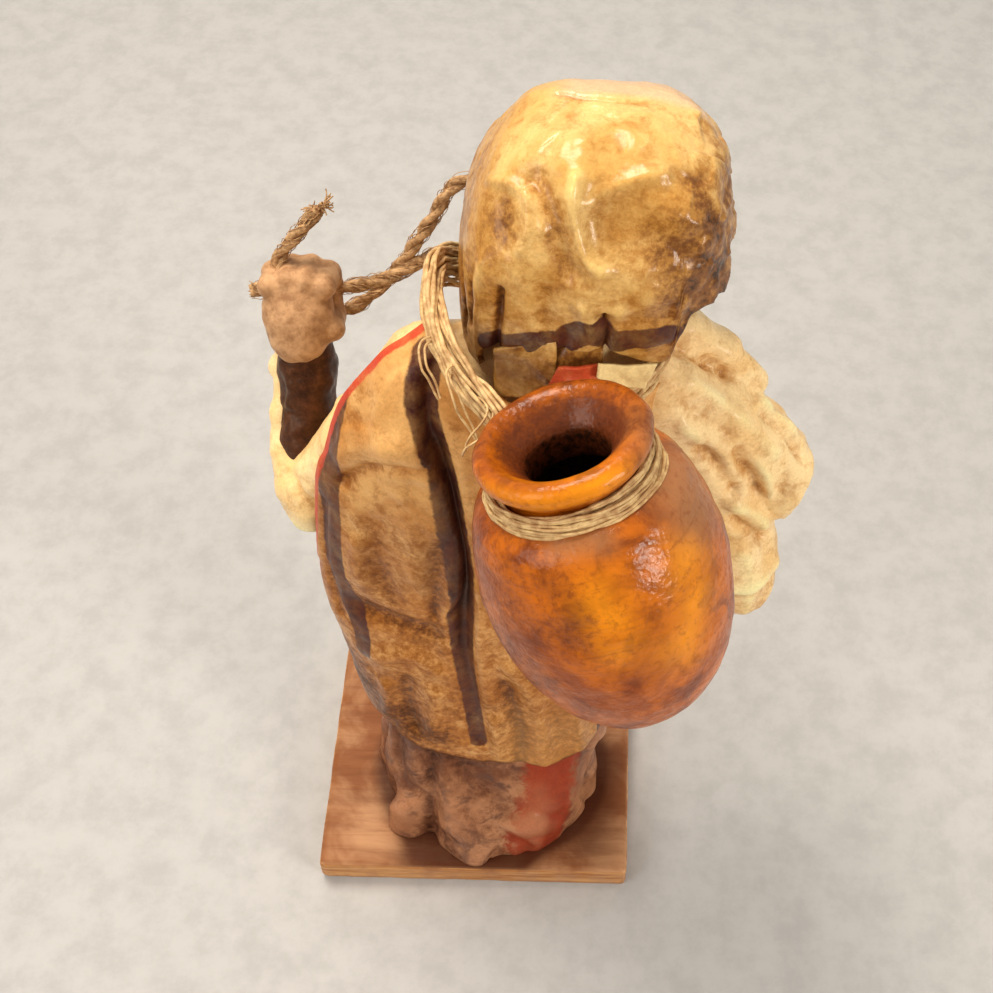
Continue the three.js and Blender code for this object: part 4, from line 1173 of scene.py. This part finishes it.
# Each scrap: its upper and lower edge, then its paper, slot, seed, darkness, bulge and redness.
SCRAPS = {
    "nape_flap": (
        [(-17.6, 2.6, 166.5), (-13, 2.4, 165), (-7.6, 1.4, 163)],
        [(-17.8, 4.6, 157.6), (-13.2, 4.6, 155.2), (-7.6, 3.4, 152.6)],
        "shawl", "paper_shawl", 101, 0.45, 0.8, False,
    ),
    "collar_flap": (
        [(-33.6, 4.6, 164.6), (-29, 5.2, 164.4), (-24.2, 5, 164.4)],
        [(-31.8, 6.2, 160.2), (-28, 6.8, 161), (-24, 6.2, 162.4)],
        "shirt", "paper_body", 103, -0.45, 0.3, False,
    ),
    "collar_back": (
        [(-25, 1, 165), (-20.5, 1.2, 165.3), (-16.4, 0.8, 164.5)],
        [(-25, 4.2, 160), (-20.5, 4.8, 159), (-16, 4.4, 158)],
        "shawl", "paper_shawl", 105, 0.95, 0.2, False,
    ),
    "collar_red_fold": (
        [(-24.4, 4.6, 163.6), (-21.4, 5.6, 163.9), (-18, 5.2, 163.2)],
        [(-24.2, 6, 160.4), (-21, 6.8, 160.6), (-16.6, 6, 159.8)],
        "serape", "paper_serape", 107, 0.0, 0.6, True,
    ),
}


def make_collar(papers):
    """The loose ends of paper that stand between the shawl's hem and the jug."""
    for name, (upper, lower, paper, *look) in SCRAPS.items():
        make_scrap(name, upper, lower, papers[paper], *look)


# ---- The serape ----

SERAPE_DEGREES = (6, 158)
ROOM_AT_JUG = 0.3
MIDDLE_BAND = [
    (3.3, 0.1, 158.9), (4.4, 3.8, 151.7), (3.3, 6.8, 144.8), (1.9, 9.1, 136.6), (0.9, 10.7, 126.8),
    (0.2, 11.7, 115.3), (-0.1, 12.2, 101.9), (0.1, 13.1, 84.1), (-1, 14.7, 65.6), (-2.2, 16.4, 49),
]
LEFT_BAND = [
    (19.2, -0.9, 146.5), (21.2, 1.6, 138), (22.9, 3, 127.6), (23.6, 4.3, 116.9), (24.3, 5, 104.4),
    (23, 6.8, 92.1), (20.8, 8.5, 83.1), (20.8, 8.6, 70.4),
]
RIGHT_BAND = [(-26, 8.5, 126), (-30, 8, 104), (-30, 9, 82), (-30, 9.6, 60), (-29, 9.6, 44)]
# A line near the serape's hem, on the figure's left, along which painted shade lies.
HEM_SHADE_LINE = [(27, 4, 70), (24, 6.6, 60), (20, 9.3, 56), (16, 12, 51), (9, 14.6, 50)]
PANEL_EDGE = [
    (3.5, -1.2, 160.3), (5.9, 0.9, 155.8), (6.5, 3.3, 151), (6.4, 6.2, 143.9), (5.3, 8.1, 138),
    (3.8, 9.3, 133.8), (2.5, 10.8, 123.6), (1.8, 11.6, 115), (2, 12, 105.2), (3, 12, 97.7),
]
# Folds of the serape; where one is darkened, that is painted shade in its valley.
SERAPE_FOLDS = [
    ([(9.5, 0.4, 156), (10.6, 4.2, 147), (9.6, 7.4, 139.4)], 4.2, 2),
    ([(7.6, 9, 131), (7.2, 10.6, 120), (7.6, 11, 108)], 3.2, 1.1),
    ([(20.4, 4.5, 128.4), (14.3, 6.2, 134.8), (8.8, 7.3, 138.1), (5.3, 7.9, 138.8)], 1.2, -1.5, 0.5),
    ([(19.5, 2.8, 134.5), (14, 5, 140), (8.8, 6, 143)], 2.6, 1),
    ([(3.2, 11, 120.6), (4.5, 11.4, 107.5), (5.6, 11.8, 93.4)], 1.1, -1.2, 0.45),
    ([(-3.7, 12.4, 106.2), (-3.3, 13.3, 84.7), (-4.6, 14.8, 66)], 1.8, 1.3),
    ([(17.7, 10, 75.2), (11.1, 11.7, 78.8), (6.2, 12.9, 75)], 2.6, 1.2),
    ([(20, 8.6, 91), (13, 10.6, 90), (6, 12, 88)], 3.2, -1.5, 0.35),
    ([(14.5, 8.6, 121), (15, 9.6, 107), (13, 10.4, 97)], 2.6, -0.9, 0.2),
    ([(18.4, 7.2, 113), (18.8, 8, 101)], 2.4, 0.9),
    ([(12.6, 12.4, 68), (13.2, 12.6, 58), (12, 13.6, 51)], 2.2, -1.4, 0.35),
    ([(6.6, 14, 66), (7.4, 15, 52)], 2.2, 1.3),
    ([(17, 10.6, 64), (17.6, 11.4, 54)], 1.8, 1),
    ([(-9.2, 13.9, 79.9), (-13.1, 14.5, 70.5), (-15.1, 15.1, 58), (-16.2, 15.8, 39.6)], 2, 1.4),
    ([(-8, 14.4, 72), (-10.6, 15.4, 56), (-11, 16.4, 40)], 1.8, -1.3, 0.4),
    ([(-5.6, 16, 58), (-6.2, 16.8, 44)], 1.6, 1.1),
    ([(-20, 13, 74), (-22.6, 13.4, 58), (-24, 13.6, 42)], 2.2, 1.6),
    ([(-24, 11, 96), (-28, 9, 80), (-29, 8.6, 58)], 2.6, -1.6, 0.5),
    ([(-30, 6, 120), (-33, 5, 100), (-33, 5.6, 76)], 2.6, 1.4),
    ([(-18, 9, 140), (-25, 8, 124), (-27, 9, 104)], 2.4, -1.3, 0.5),
    ([(25, 3.2, 120), (26.6, 4.2, 104), (24.6, 5.6, 86)], 1.2, -0.9, 0.35),
]


def serape_points(across, down):
    """Points on the smooth serape, by shares of the way across it and down it."""
    dip_middle, dip_width, dip_depth = 122, 26, 6
    cx, cy, left, right, back, z_left, z_back, z_right = row_at(SERAPE_ROWS, down).T
    degrees = SERAPE_DEGREES[0] + (SERAPE_DEGREES[1] - SERAPE_DEGREES[0]) * across
    c, s = np.cos(np.radians(degrees)), np.sin(np.radians(degrees))
    side = np.where(c > 0, z_left, z_right)
    dip = dip_depth * down**3 * np.exp(-(((degrees - dip_middle) / dip_width) ** 2))
    z = z_back + (side - z_back) * c * c - dip
    return np.stack([cx + c * np.where(c > 0, left, right), cy + back * s, z], 1)


def clear_of_jug(points, room):
    """The points moved off the jug, straight away from its middle line."""
    local = (points - JUG_MIDDLE) @ JUG_TURN
    far = np.linalg.norm(local[:, :2], axis=1)
    wall = JUG["radius"] * np.sqrt(np.clip(1 - (local[:, 2] / JUG["below"]) ** 2, 0, 1)) + room
    wall = np.where(np.abs(local[:, 2]) < JUG["below"], wall, 0)
    push = np.maximum(wall - far, 0)
    local[:, :2] += local[:, :2] / np.maximum(far, 1e-6)[:, None] * push[:, None]
    return local @ JUG_TURN.T + JUG_MIDDLE


def make_serape(material):
    """The serape down the back: its folds, the groove along its middle band, and its painted bands."""
    size = (190, 190)
    spread = np.meshgrid(*(np.linspace(0, 1, n) for n in size), indexing="ij")
    down, across = (share.ravel() for share in spread)
    flat = serape_points(across, down)
    flat[:, 2] += smooth(0.965, 1, down) * (1.1 * mottle(flat, 7, 111) + 0.5 * mottle(flat, 2.5, 112))
    grid = flat.reshape(*size, 3)
    x, z = flat[:, 0], flat[:, 2]
    middle = curve_through(MIDDLE_BAND, 60)
    to_middle = away_from(flat, middle)
    on_panel = near(flat, curve_through(PANEL_EDGE, 40), 2.1) * smooth(92, 104, z)
    height, dark = folded(flat, SERAPE_FOLDS, 14)
    deep = smooth(66, 100, z)
    groove = np.exp(-((to_middle / (1.7 + 0.5 * deep)) ** 2))
    valley = -(1.0 + 2.4 * deep) * (1 - 0.75 * smooth(141, 150, z)) * groove
    crushed = 0.75 * crumple(flat * [1, 1, 0.5], 13, 113, 7) + 0.22 * creased(flat * [1, 1, 0.6], 7, 114)
    crushed = crushed + 0.05 * mottle(flat, 1.8, 115)
    rise = height + valley + crushed + 2.0 * on_panel
    moved = grid + grid_normals(grid, False) * rise.reshape(size)[..., None]
    moved[..., 0] -= (1.9 * on_panel).reshape(size)
    moved = clear_of_jug(moved.reshape(-1, 3), ROOM_AT_JUG).reshape(*size, 3)
    inner = moved - grid_normals(moved, False) * PAPER_THICK
    points, faces = walled(moved, inner, False)

    half_width = 1.5 - 0.9 * smooth(130, 100, z) - 0.6 * smooth(100, 84, z)
    border = away_from(flat, grid[::4, 0]) - half_width + 6 * smooth(92, 86, z)
    top = away_from(flat, grid[0][: size[1] // 3 : 4]) - 1.2
    half_width = 1.3 + 1.35 * smooth(146, 124, z) - 0.8 * smooth(96, 80, z)
    left_band = away_from(flat, curve_through(LEFT_BAND, 50)) - half_width + 2.4 * smooth(75, 71, z)
    middle_band = away_from(flat - [0.3, 0, 0], middle) - (3.1 - 1.2 * smooth(110, 66, z))
    right_band = away_from(flat, RIGHT_BAND) - 1.8
    purple = np.minimum(np.minimum(left_band, middle_band), right_band)
    # Darker, and mottled, towards the hem.
    low = smooth(74, 46, z) * (0.5 + 0.5 * mottle(flat, 7, 116))
    # Painted shade below the bulge at elbow height, and lower still, with mottling.
    lower_shade_and_mottle = 0.36 * smooth(136, 116, z) + 0.12 * smooth(100, 80, z)
    lower_shade_and_mottle = lower_shade_and_mottle + 0.14 * mottle(flat * [1, 1, 0.6], 8, 117)
    # Painted shade in the folds' valleys, in the groove along the middle band and in the hollows.
    stain_and_shade = 0.5 * dark + 0.5 * np.exp(-((to_middle / 1.3) ** 2)) * deep
    stain_and_shade = stain_and_shade + 0.22 * smooth(0.0, -1.6, height + crushed) + lower_shade_and_mottle + 0.15 * low
    # Painted shade along the line near the hem, and on the hem's very edge.
    stain_and_shade = np.clip(stain_and_shade + 0.5 * near(flat, HEM_SHADE_LINE, 4.5) + 0.6 * smooth(0.992, 1.0, down), 0, 1)
    # Painted highlight, with wear, on the ridges and low on the figure's right.
    wear_and_highlight = 0.5 * smooth(0.8, 2.8, rise) * smooth(60, 120, z) + 0.25 * smooth(70, 50, z) * smooth(-2, -10, x)
    marks = {"stain_and_shade": both_sides(stain_and_shade, 0.6), "purple": both_sides(purple, 9.0)}
    marks["red"] = both_sides(np.minimum(border, top), 9.0)
    marks["wear_and_highlight"] = both_sides(np.clip(wear_and_highlight, 0, 1), 0.0)
    paper_piece("striped_serape", points, faces, material, marks, ["serape"])


# ---- The jug ----

LIP_TOP = 28.25
# Each turned line round the jug: its depth, height and width.
CUTS = ((0.12, 12.2, 0.35), (0.1, 15.5, 0.3))
# Radius and height, up the shoulder, round the lip and down the neck's hollow.
JUG_LIP = [
    (15.2, 18.6), (13, 19.9), (11.7, 20.9), (11.3, 21.8), (11.8, 22.9), (12.8, 24), (13.7, 25), (14.1, 26),
    (13.95, 26.9), (13.3, 27.8), (12.5, 28.25), (11.6, 28.3), (10.8, 27.9), (10, 27.2), (9.2, 26.5),
    (8.4, 25.7), (7.5, 24.7), (6.8, 23.6), (6.4, 22.6), (6.3, 21.6), (6.3, 18.4), (7.2, 17.2),
]


def jug_outline():
    """Radius and height down the jug's outside, over its lip and round its hollow."""
    outside, inside = (JUG["below"], JUG["radius"]), (26.8, 15.7)

    def belly(a, half, radius):
        z = -half * math.sin(a)
        return (radius * math.sqrt(max(0, 1 - (z / half) ** 2)), z)

    line = [(0, -outside[0])] + [belly(a, *outside) for a in np.linspace(math.pi / 2, -0.58, 60)[1:]]
    line += JUG_LIP + [belly(a, *inside) for a in np.linspace(-0.62, math.pi / 2, 16)[:-1]]
    return line + [(0, -inside[0])]


def make_jug():
    """The hollow jug, turned from its outline, then leaned over on its axis."""
    line = np.array(jug_outline())
    lengths = np.concatenate([[0], np.cumsum(np.linalg.norm(np.diff(line, axis=0), axis=1))])
    count, turns = 190, 200
    at = np.linspace(0, lengths[-1], count)
    outline = [np.interp(at, lengths, column) for column in line.T]
    for _ in range(2):
        for column in outline:
            column[1:-1] = np.convolve(column, [0.25, 0.5, 0.25], "valid")
    radius, height = (column[:, None] for column in outline)
    angle = np.linspace(0, TURN, turns, endpoint=False)
    grid = np.stack([radius * np.cos(angle), radius * np.sin(angle), np.repeat(height, turns, 1)], -1)
    flat = grid.reshape(-1, 3)
    inside = np.repeat(at > lengths[np.argmax(line[:, 1] > LIP_TOP) + 2], turns)
    bumps = 0.16 * mottle(flat, 3.2, 121) + 0.07 * mottle(flat, 1.4, 122)
    z = flat[:, 2]
    cuts = -sum(depth * np.exp(-(((z - level) / width) ** 2)) for depth, level, width in CUTS)
    far = np.linalg.norm(flat[:, :2], axis=1)
    out = flat * [1, 1, 0] / np.maximum(far, 1e-6)[:, None]
    flat = flat + out * ((bumps + cuts) * ~inside * (far > 1))[:, None]
    world = flat @ JUG_TURN.T + JUG_MIDDLE
    x, y, _ = world.T
    # Painted shade inside the neck's hollow and down its funnel.
    deep = inside * smooth(24.0, 20.5, z)
    funnel = inside * smooth(28.0, 24.0, z) * 0.75
    # Painted shade on the jug's +X side below its neck, with darker spots.
    patches_and_shade = 0.5 * near(world, [(-22.1, 48.4, 154.1)], 4.5) + 0.45 * near(world, [(-19.7, 45, 161)], 3.5)
    patches_and_shade = patches_and_shade + 0.3 * smooth(-22, -12, x) * smooth(22, 18, z)
    # Darker on the lip's far side.
    far_lip = smooth(24.5, 26.5, z) * smooth(33, 24, y) * 0.42
    stain_and_shade = np.clip(deep + funnel + far_lip + patches_and_shade + 0.12 * mottle(flat, 6, 123), 0, 1)
    # Painted shade under the raffia band round the neck.
    stain_and_shade = np.clip(stain_and_shade + 0.3 * smooth(22.8, 21.2, z) * smooth(19.4, 20.6, z) * ~inside, 0, 1)
    veil = near(world, [(-34.5, 26, 170), (-38.5, 30, 164)], 8.5)
    veil = veil + 0.7 * near(world, [(-19.5, 40.3, 165.7), (-25.2, 40, 166.9)], 3.0)
    # Painted light: brighter where light falls on the jug, and along the lip's near side.
    painted_light = 0.95 * near(world, [(-38.5, 38.5, 161), (-39.6, 41.5, 155), (-38.5, 46.5, 148)], 4.6)
    painted_light = painted_light + 0.8 * near(world, [(-25.5, 45.9, 160.2), (-28.5, 49.5, 153)], 4.5)
    near_lip = 0.75 * smooth(23.5, 25.5, z) * smooth(28.6, 27.2, z) * smooth(28, 36, y) * ~inside
    painted_light = np.clip((painted_light + near_lip) * (0.75 + 0.4 * mottle(world, 3.5, 124)), 0, 1)
    marks = {"stain_and_shade": stain_and_shade, "veil": veil, "painted_light": painted_light}
    faces = grid_faces(count, turns, True, flip=True)
    piece("turned_jug", world, faces, jug_wood(), marks, ["jug"])


# ---- Raffia and twine, as bundles of strands along a line ----

BUNDLE_INPUTS = (
    ("Strands", "Int", 8), ("Spread", "Float", 0.001), ("Flatness", "Float", 0.5),
    ("Thickness", "Float", 0.0004), ("Turns", "Float", 2.0), ("Wander", "Float", 0.0005),
    ("Wander Size", "Float", 0.012), ("Even", "Float", 0.0), ("Seed", "Int", 1), ("Sides", "Int", 6),
    ("Finish", "Material", None),
)


def bundle_tree():
    """A node tree that lays strands side by side along a curve, winding round it as they go."""
    tree = bpy.data.node_groups.new("strands along a line", "GeometryNodeTree")
    face = tree.interface
    face.new_socket("Line", in_out="INPUT", socket_type="NodeSocketGeometry")
    for name, kind, value in BUNDLE_INPUTS:
        socket = face.new_socket(name, in_out="INPUT", socket_type="NodeSocket" + kind)
        if value is not None:
            socket.default_value = value
    face.new_socket("Strands", in_out="OUTPUT", socket_type="NodeSocketGeometry")

    def add(kind, inputs=(), output=0, **settings):
        """One output of a new node, if it has any."""
        outputs = new_node(tree, kind, inputs, settings).outputs
        return outputs[output] if outputs else None

    def sum_of(kind, a, b=0.0):
        return add("ShaderNodeMath", {0: a, 1: b}, operation=kind)

    def product(a, *others):
        for other in others:
            a = sum_of("MULTIPLY", a, other)
        return a

    def arrow(kind, inputs):
        return add("ShaderNodeVectorMath", inputs, operation=kind)

    given = add("NodeGroupInput").node.outputs
    spare = {"Geometry": given["Line"], "Amount": given["Strands"]}
    copies = add("GeometryNodeDuplicateElements", spare, domain="SPLINE").node.outputs
    numbered = {"Geometry": copies["Geometry"], "Name": "strand", "Value": copies["Duplicate Index"]}
    kept = add("GeometryNodeStoreNamedAttribute", numbered, data_type="INT", domain="CURVE")
    which = add("GeometryNodeInputNamedAttribute", {"Name": "strand"}, "Attribute", data_type="INT")
    even = given["Even"]
    uneven = sum_of("SUBTRACT", 1.0, even)

    def roll(low, high, shift):
        """A number of its own for each strand, in a range."""
        chance = {2: low, 3: high, "ID": which, "Seed": sum_of("ADD", given["Seed"], shift)}
        return add("FunctionNodeRandomValue", chance, 1, data_type="FLOAT")

    along = add("GeometryNodeSplineParameter", (), "Factor")
    evenly_round = sum_of("DIVIDE", product(which, TURN), given["Strands"])
    start = sum_of("ADD", product(evenly_round, even), product(roll(0, TURN, 0), uneven))
    pace = sum_of("ADD", even, product(roll(0.4, 1.2, 7), uneven))
    angle = sum_of("ADD", start, product(along, given["Turns"], TURN, pace))
    reach = product(given["Spread"], sum_of("ADD", even, product(roll(0.25, 1.0, 3), uneven)))
    normal = add("GeometryNodeInputNormal")
    side = arrow("CROSS_PRODUCT", {0: add("GeometryNodeInputTangent"), 1: normal})
    one = arrow("SCALE", {0: normal, "Scale": product(sum_of("COSINE", angle), reach, given["Flatness"])})
    two = arrow("SCALE", {0: side, "Scale": product(sum_of("SINE", angle), reach)})
    pattern = {"Vector": add("GeometryNodeInputPosition"), "W": product(which, 3.7), "Detail": 1.5}
    pattern["Scale"] = sum_of("DIVIDE", 1.0, given["Wander Size"])
    noise = add("ShaderNodeTexNoise", pattern, "Color", noise_dimensions="4D")
    centred = arrow("SUBTRACT", {0: noise, 1: (0.5, 0.5, 0.5)})
    stray = arrow("SCALE", {0: centred, "Scale": product(given["Wander"], 2.0)})
    shift = arrow("ADD", {0: arrow("ADD", {0: one, 1: two}), 1: stray})
    placed = add("GeometryNodeSetPosition", {"Geometry": kept, "Offset": shift})
    size = {"Resolution": given["Sides"], "Radius": given["Thickness"]}
    ring = add("GeometryNodeCurvePrimitiveCircle", size, "Curve")
    outline = {"Curve": placed, "Profile Curve": ring, "Fill Caps": True}
    real = add("GeometryNodeRealizeInstances", {"Geometry": add("GeometryNodeCurveToMesh", outline)})
    finish = add("GeometryNodeSetMaterial", {"Geometry": real, "Material": given["Finish"]})
    add("NodeGroupOutput", {"Strands": finish})
    return tree


ORDER = [name for name, kind, _ in BUNDLE_INPUTS if kind != "Material"]
IN_MM = ("Spread", "Thickness", "Wander", "Wander Size")


def lay_strands(tree, finish, lines, *numbers):
    """The mesh of one bundle of strands, laid along each of the lines; the numbers are in ORDER."""
    curve = bpy.data.curves.new("line", "CURVE")
    curve.dimensions = "3D"
    for points in lines:
        spline = curve.splines.new("POLY")
        spline.points.add(len(points) - 1)
        for spot, place in zip(spline.points, points):
            spot.co = (*(np.asarray(place) * MM), 1)
    guide = in_scene("line", curve)
    layer = guide.modifiers.new("strands", "NODES")
    layer.node_group = tree
    sockets = {s.name: s.identifier for s in tree.interface.items_tree if s.in_out == "INPUT"}
    layer[sockets["Finish"]] = finish
    for name, value in zip(ORDER, numbers):
        layer[sockets[name]] = value * MM if name in IN_MM else value
    found = guide.evaluated_get(bpy.context.evaluated_depsgraph_get())
    mesh = bpy.data.meshes.new_from_object(found)
    bpy.data.objects.remove(guide)
    return mesh


def joined_piece(name, meshes, stands_for=()):
    """One piece from several bundles of strands."""
    build = bmesh.new()
    for mesh in meshes:
        build.from_mesh(mesh)
    whole = meshes[0].copy()
    bmesh.ops.recalc_face_normals(build, faces=build.faces)
    build.to_mesh(whole)
    build.free()
    whole.name = name
    whole.shade_smooth()
    settle(in_scene(name, whole), stands_for)


def on_jug(radius, height, degrees):
    """Places round the jug's own axis."""
    a = np.radians(np.asarray(degrees, float))
    local = np.stack([radius * np.cos(a), radius * np.sin(a), height + 0 * a], -1)
    return local @ JUG_TURN.T + JUG_MIDDLE


STRAYS = [
    [(-6, 12.4, 163.8), (-8, 16, 165.5), (-6.8, 19, 164), (-4, 20, 161), (-3.6, 18.2, 157)],
    [(-2, 8, 165), (-1.4, 11, 167.2), (-2.6, 14.2, 166.4), (-4.4, 16.8, 163.2), (-6.6, 19.2, 159.2)],
    [(1, 3, 166.5), (2.8, 6, 168), (2.2, 10, 166.6), (0.2, 12.6, 163)],
]


def make_raffia(tree):
    straw = fibre("raffia", (226, 192, 134), (178, 134, 84), 1.8, 0.55)
    ring = np.linspace(0, 720, 150)
    radius = 12.9 + 0.4 * np.sin(np.radians(ring * 1.5))
    height = 20.3 + 0.7 * np.sin(np.radians(ring * 0.5 + 40))
    strap, neck = [curve_through(STRAP_ROUTE, 120)], [on_jug(radius, height, ring)]
    strays = [curve_through(line, 30) for line in STRAYS]
    bundles = [
        lay_strands(tree, straw, strap, 46, 3.6, 0.42, 0.38, 1.3, 1.5, 10, 0.0, 4, 6),
        lay_strands(tree, straw, neck, 38, 2.0, 0.42, 0.26, 1.6, 1.0, 8, 0.0, 9, 6),
        lay_strands(tree, straw, strays, 2, 0.8, 1.0, 0.2, 0.6, 0.9, 6, 0.0, 13, 6),
    ]
    joined_piece("raffia_bundle", bundles, ["raffia_strap"])


def make_twine(tree):
    brown = fibre("twine", (208, 166, 116), (150, 108, 68), 0.9, 0.8)
    cords = []
    routes = ((TWINE_UPPER, 170), (TWINE_LOWER, 150), (TWINE_END, 60), (TWINE_NUB, 20))
    for k, (route, count) in enumerate(routes):
        line = curve_through(route, count)
        length = np.linalg.norm(np.diff(line, axis=0), axis=1).sum()
        plies = (2, 0.6, 1.0, 0.78, length / 11, 0.3, 4, 1.0, 20 + k, 8)
        hairs = (26, 1.6, 1.0, 0.08, length / 10, 1.0, 3, 0.0, 30 + k, 3)
        cords += [lay_strands(tree, brown, [line], *plies), lay_strands(tree, brown, [line], *hairs)]
    tip = np.array(TWINE_END[-1], float)
    frays = []
    for k in range(44):
        roll = scatter(np.array([[k, 3, 5]]), 7, 6)[0]
        reach = np.array([-1.6, -0.6, 1.9]) + (roll[:3] - 0.5) * 3.4
        half_way = tip + reach * (0.3 + 0.4 * roll[3])
        loose_end = tip + reach * (0.6 + 0.4 * roll[3]) + (roll[3:6] - 0.5) * 1.6
        frays.append(curve_through([tip - reach * 0.9, tip, half_way, loose_end], 10))
    cords.append(lay_strands(tree, brown, frays, 1, 0.4, 1.0, 0.16, 0.5, 0.6, 3, 0.0, 41, 4))
    joined_piece("twisted_twine", cords, ["twine"])


# ---- The object, its floor and its light ----


def plain_floor():
    """A pale floor, three metres each way, which isn't part of the object."""
    reach = 3
    cloth = Finish("floor", dye(188, 185, 181))
    cloth.stain(cloth.blotches(9, 5, 0.7), 0.35, 0.7, dye(176, 173, 169))
    mesh = bpy.data.meshes.new("floor")
    corners = [(-reach, -reach, 0), (reach, -reach, 0), (reach, reach, 0), (-reach, reach, 0)]
    mesh.from_pydata(corners, [], [(0, 1, 2, 3)])
    mesh.materials.append(cloth.done(0.9))
    in_scene("floor", mesh)


def soft_lamp(name, place, power, width, tint, aim=(-15, 5, 120)):
    """A round lamp of that width, aimed at the figure's middle."""
    lamp = bpy.data.lights.new(name, "AREA")
    lamp.shape, lamp.size, lamp.energy, lamp.color = "DISK", width * MM, power, tint
    shone = in_scene(name, lamp)
    shone.location = Vector(place) * MM
    shone.rotation_euler = (Vector(aim) - Vector(place)).to_track_quat("-Z", "Y").to_euler()


def light_studio():
    world = bpy.data.worlds.new("studio")
    world.use_nodes = True
    sky = world.node_tree.nodes["Background"].inputs
    sky["Color"].default_value = (1.0, 0.955, 0.9, 1)
    sky["Strength"].default_value = 0.5
    bpy.context.scene.world = world
    soft_lamp("overhead", (150, -200, 700), 4.4, 320, (1.0, 0.93, 0.83))
    soft_lamp("low_window", (-520, 380, 320), 2.2, 170, (1.0, 0.95, 0.88))
    soft_lamp("side_fill", (420, 300, 420), 1.6, 420, (1.0, 0.95, 0.88))
    bpy.context.scene.view_settings.view_transform = "Standard"


# Each paper: its four colours from pale to brown, how much it shines, and how worn it is.
PAPERS = {
    "shawl": ((234, 192, 120), (212, 162, 86), (176, 118, 48), (112, 64, 26), 0.5, 0.6),
    "serape": ((230, 176, 108), (202, 138, 70), (156, 90, 30), (92, 48, 20), 0.12, 0.6),
    "shirt": ((255, 222, 164), (246, 204, 138), (196, 138, 72), (120, 72, 34), 0.2, 0.5),
    "skirt": ((176, 122, 86), (138, 88, 60), (104, 60, 40), (56, 30, 20), 0.1, 0.7, True),
    "forearm": ((118, 70, 40), (92, 52, 30), (70, 38, 22), (46, 24, 14), 0.15, 0.6),
}
papers = {name: lacquered_paper(name + " paper", *look) for name, look in PAPERS.items()}
hand_paint = painted_skin("hand paint", (204, 158, 114), (156, 112, 76))
face_paint = painted_skin("face paint", (180, 120, 76), (150, 94, 58))
hair_paint = painted_skin("hair paint", (58, 36, 26), (34, 20, 15))

make_base()
make_skirt(papers["skirt"])
make_shirt(papers["shirt"])
make_forearms(papers["forearm"])
make_hands(hand_paint)
make_feet(hand_paint)
make_head(face_paint, hair_paint)
make_shawl(papers["shawl"])
make_collar(papers)
make_serape(papers["serape"])
make_jug()
strands = bundle_tree()
make_raffia(strands)
make_twine(strands)
plain_floor()
light_studio()
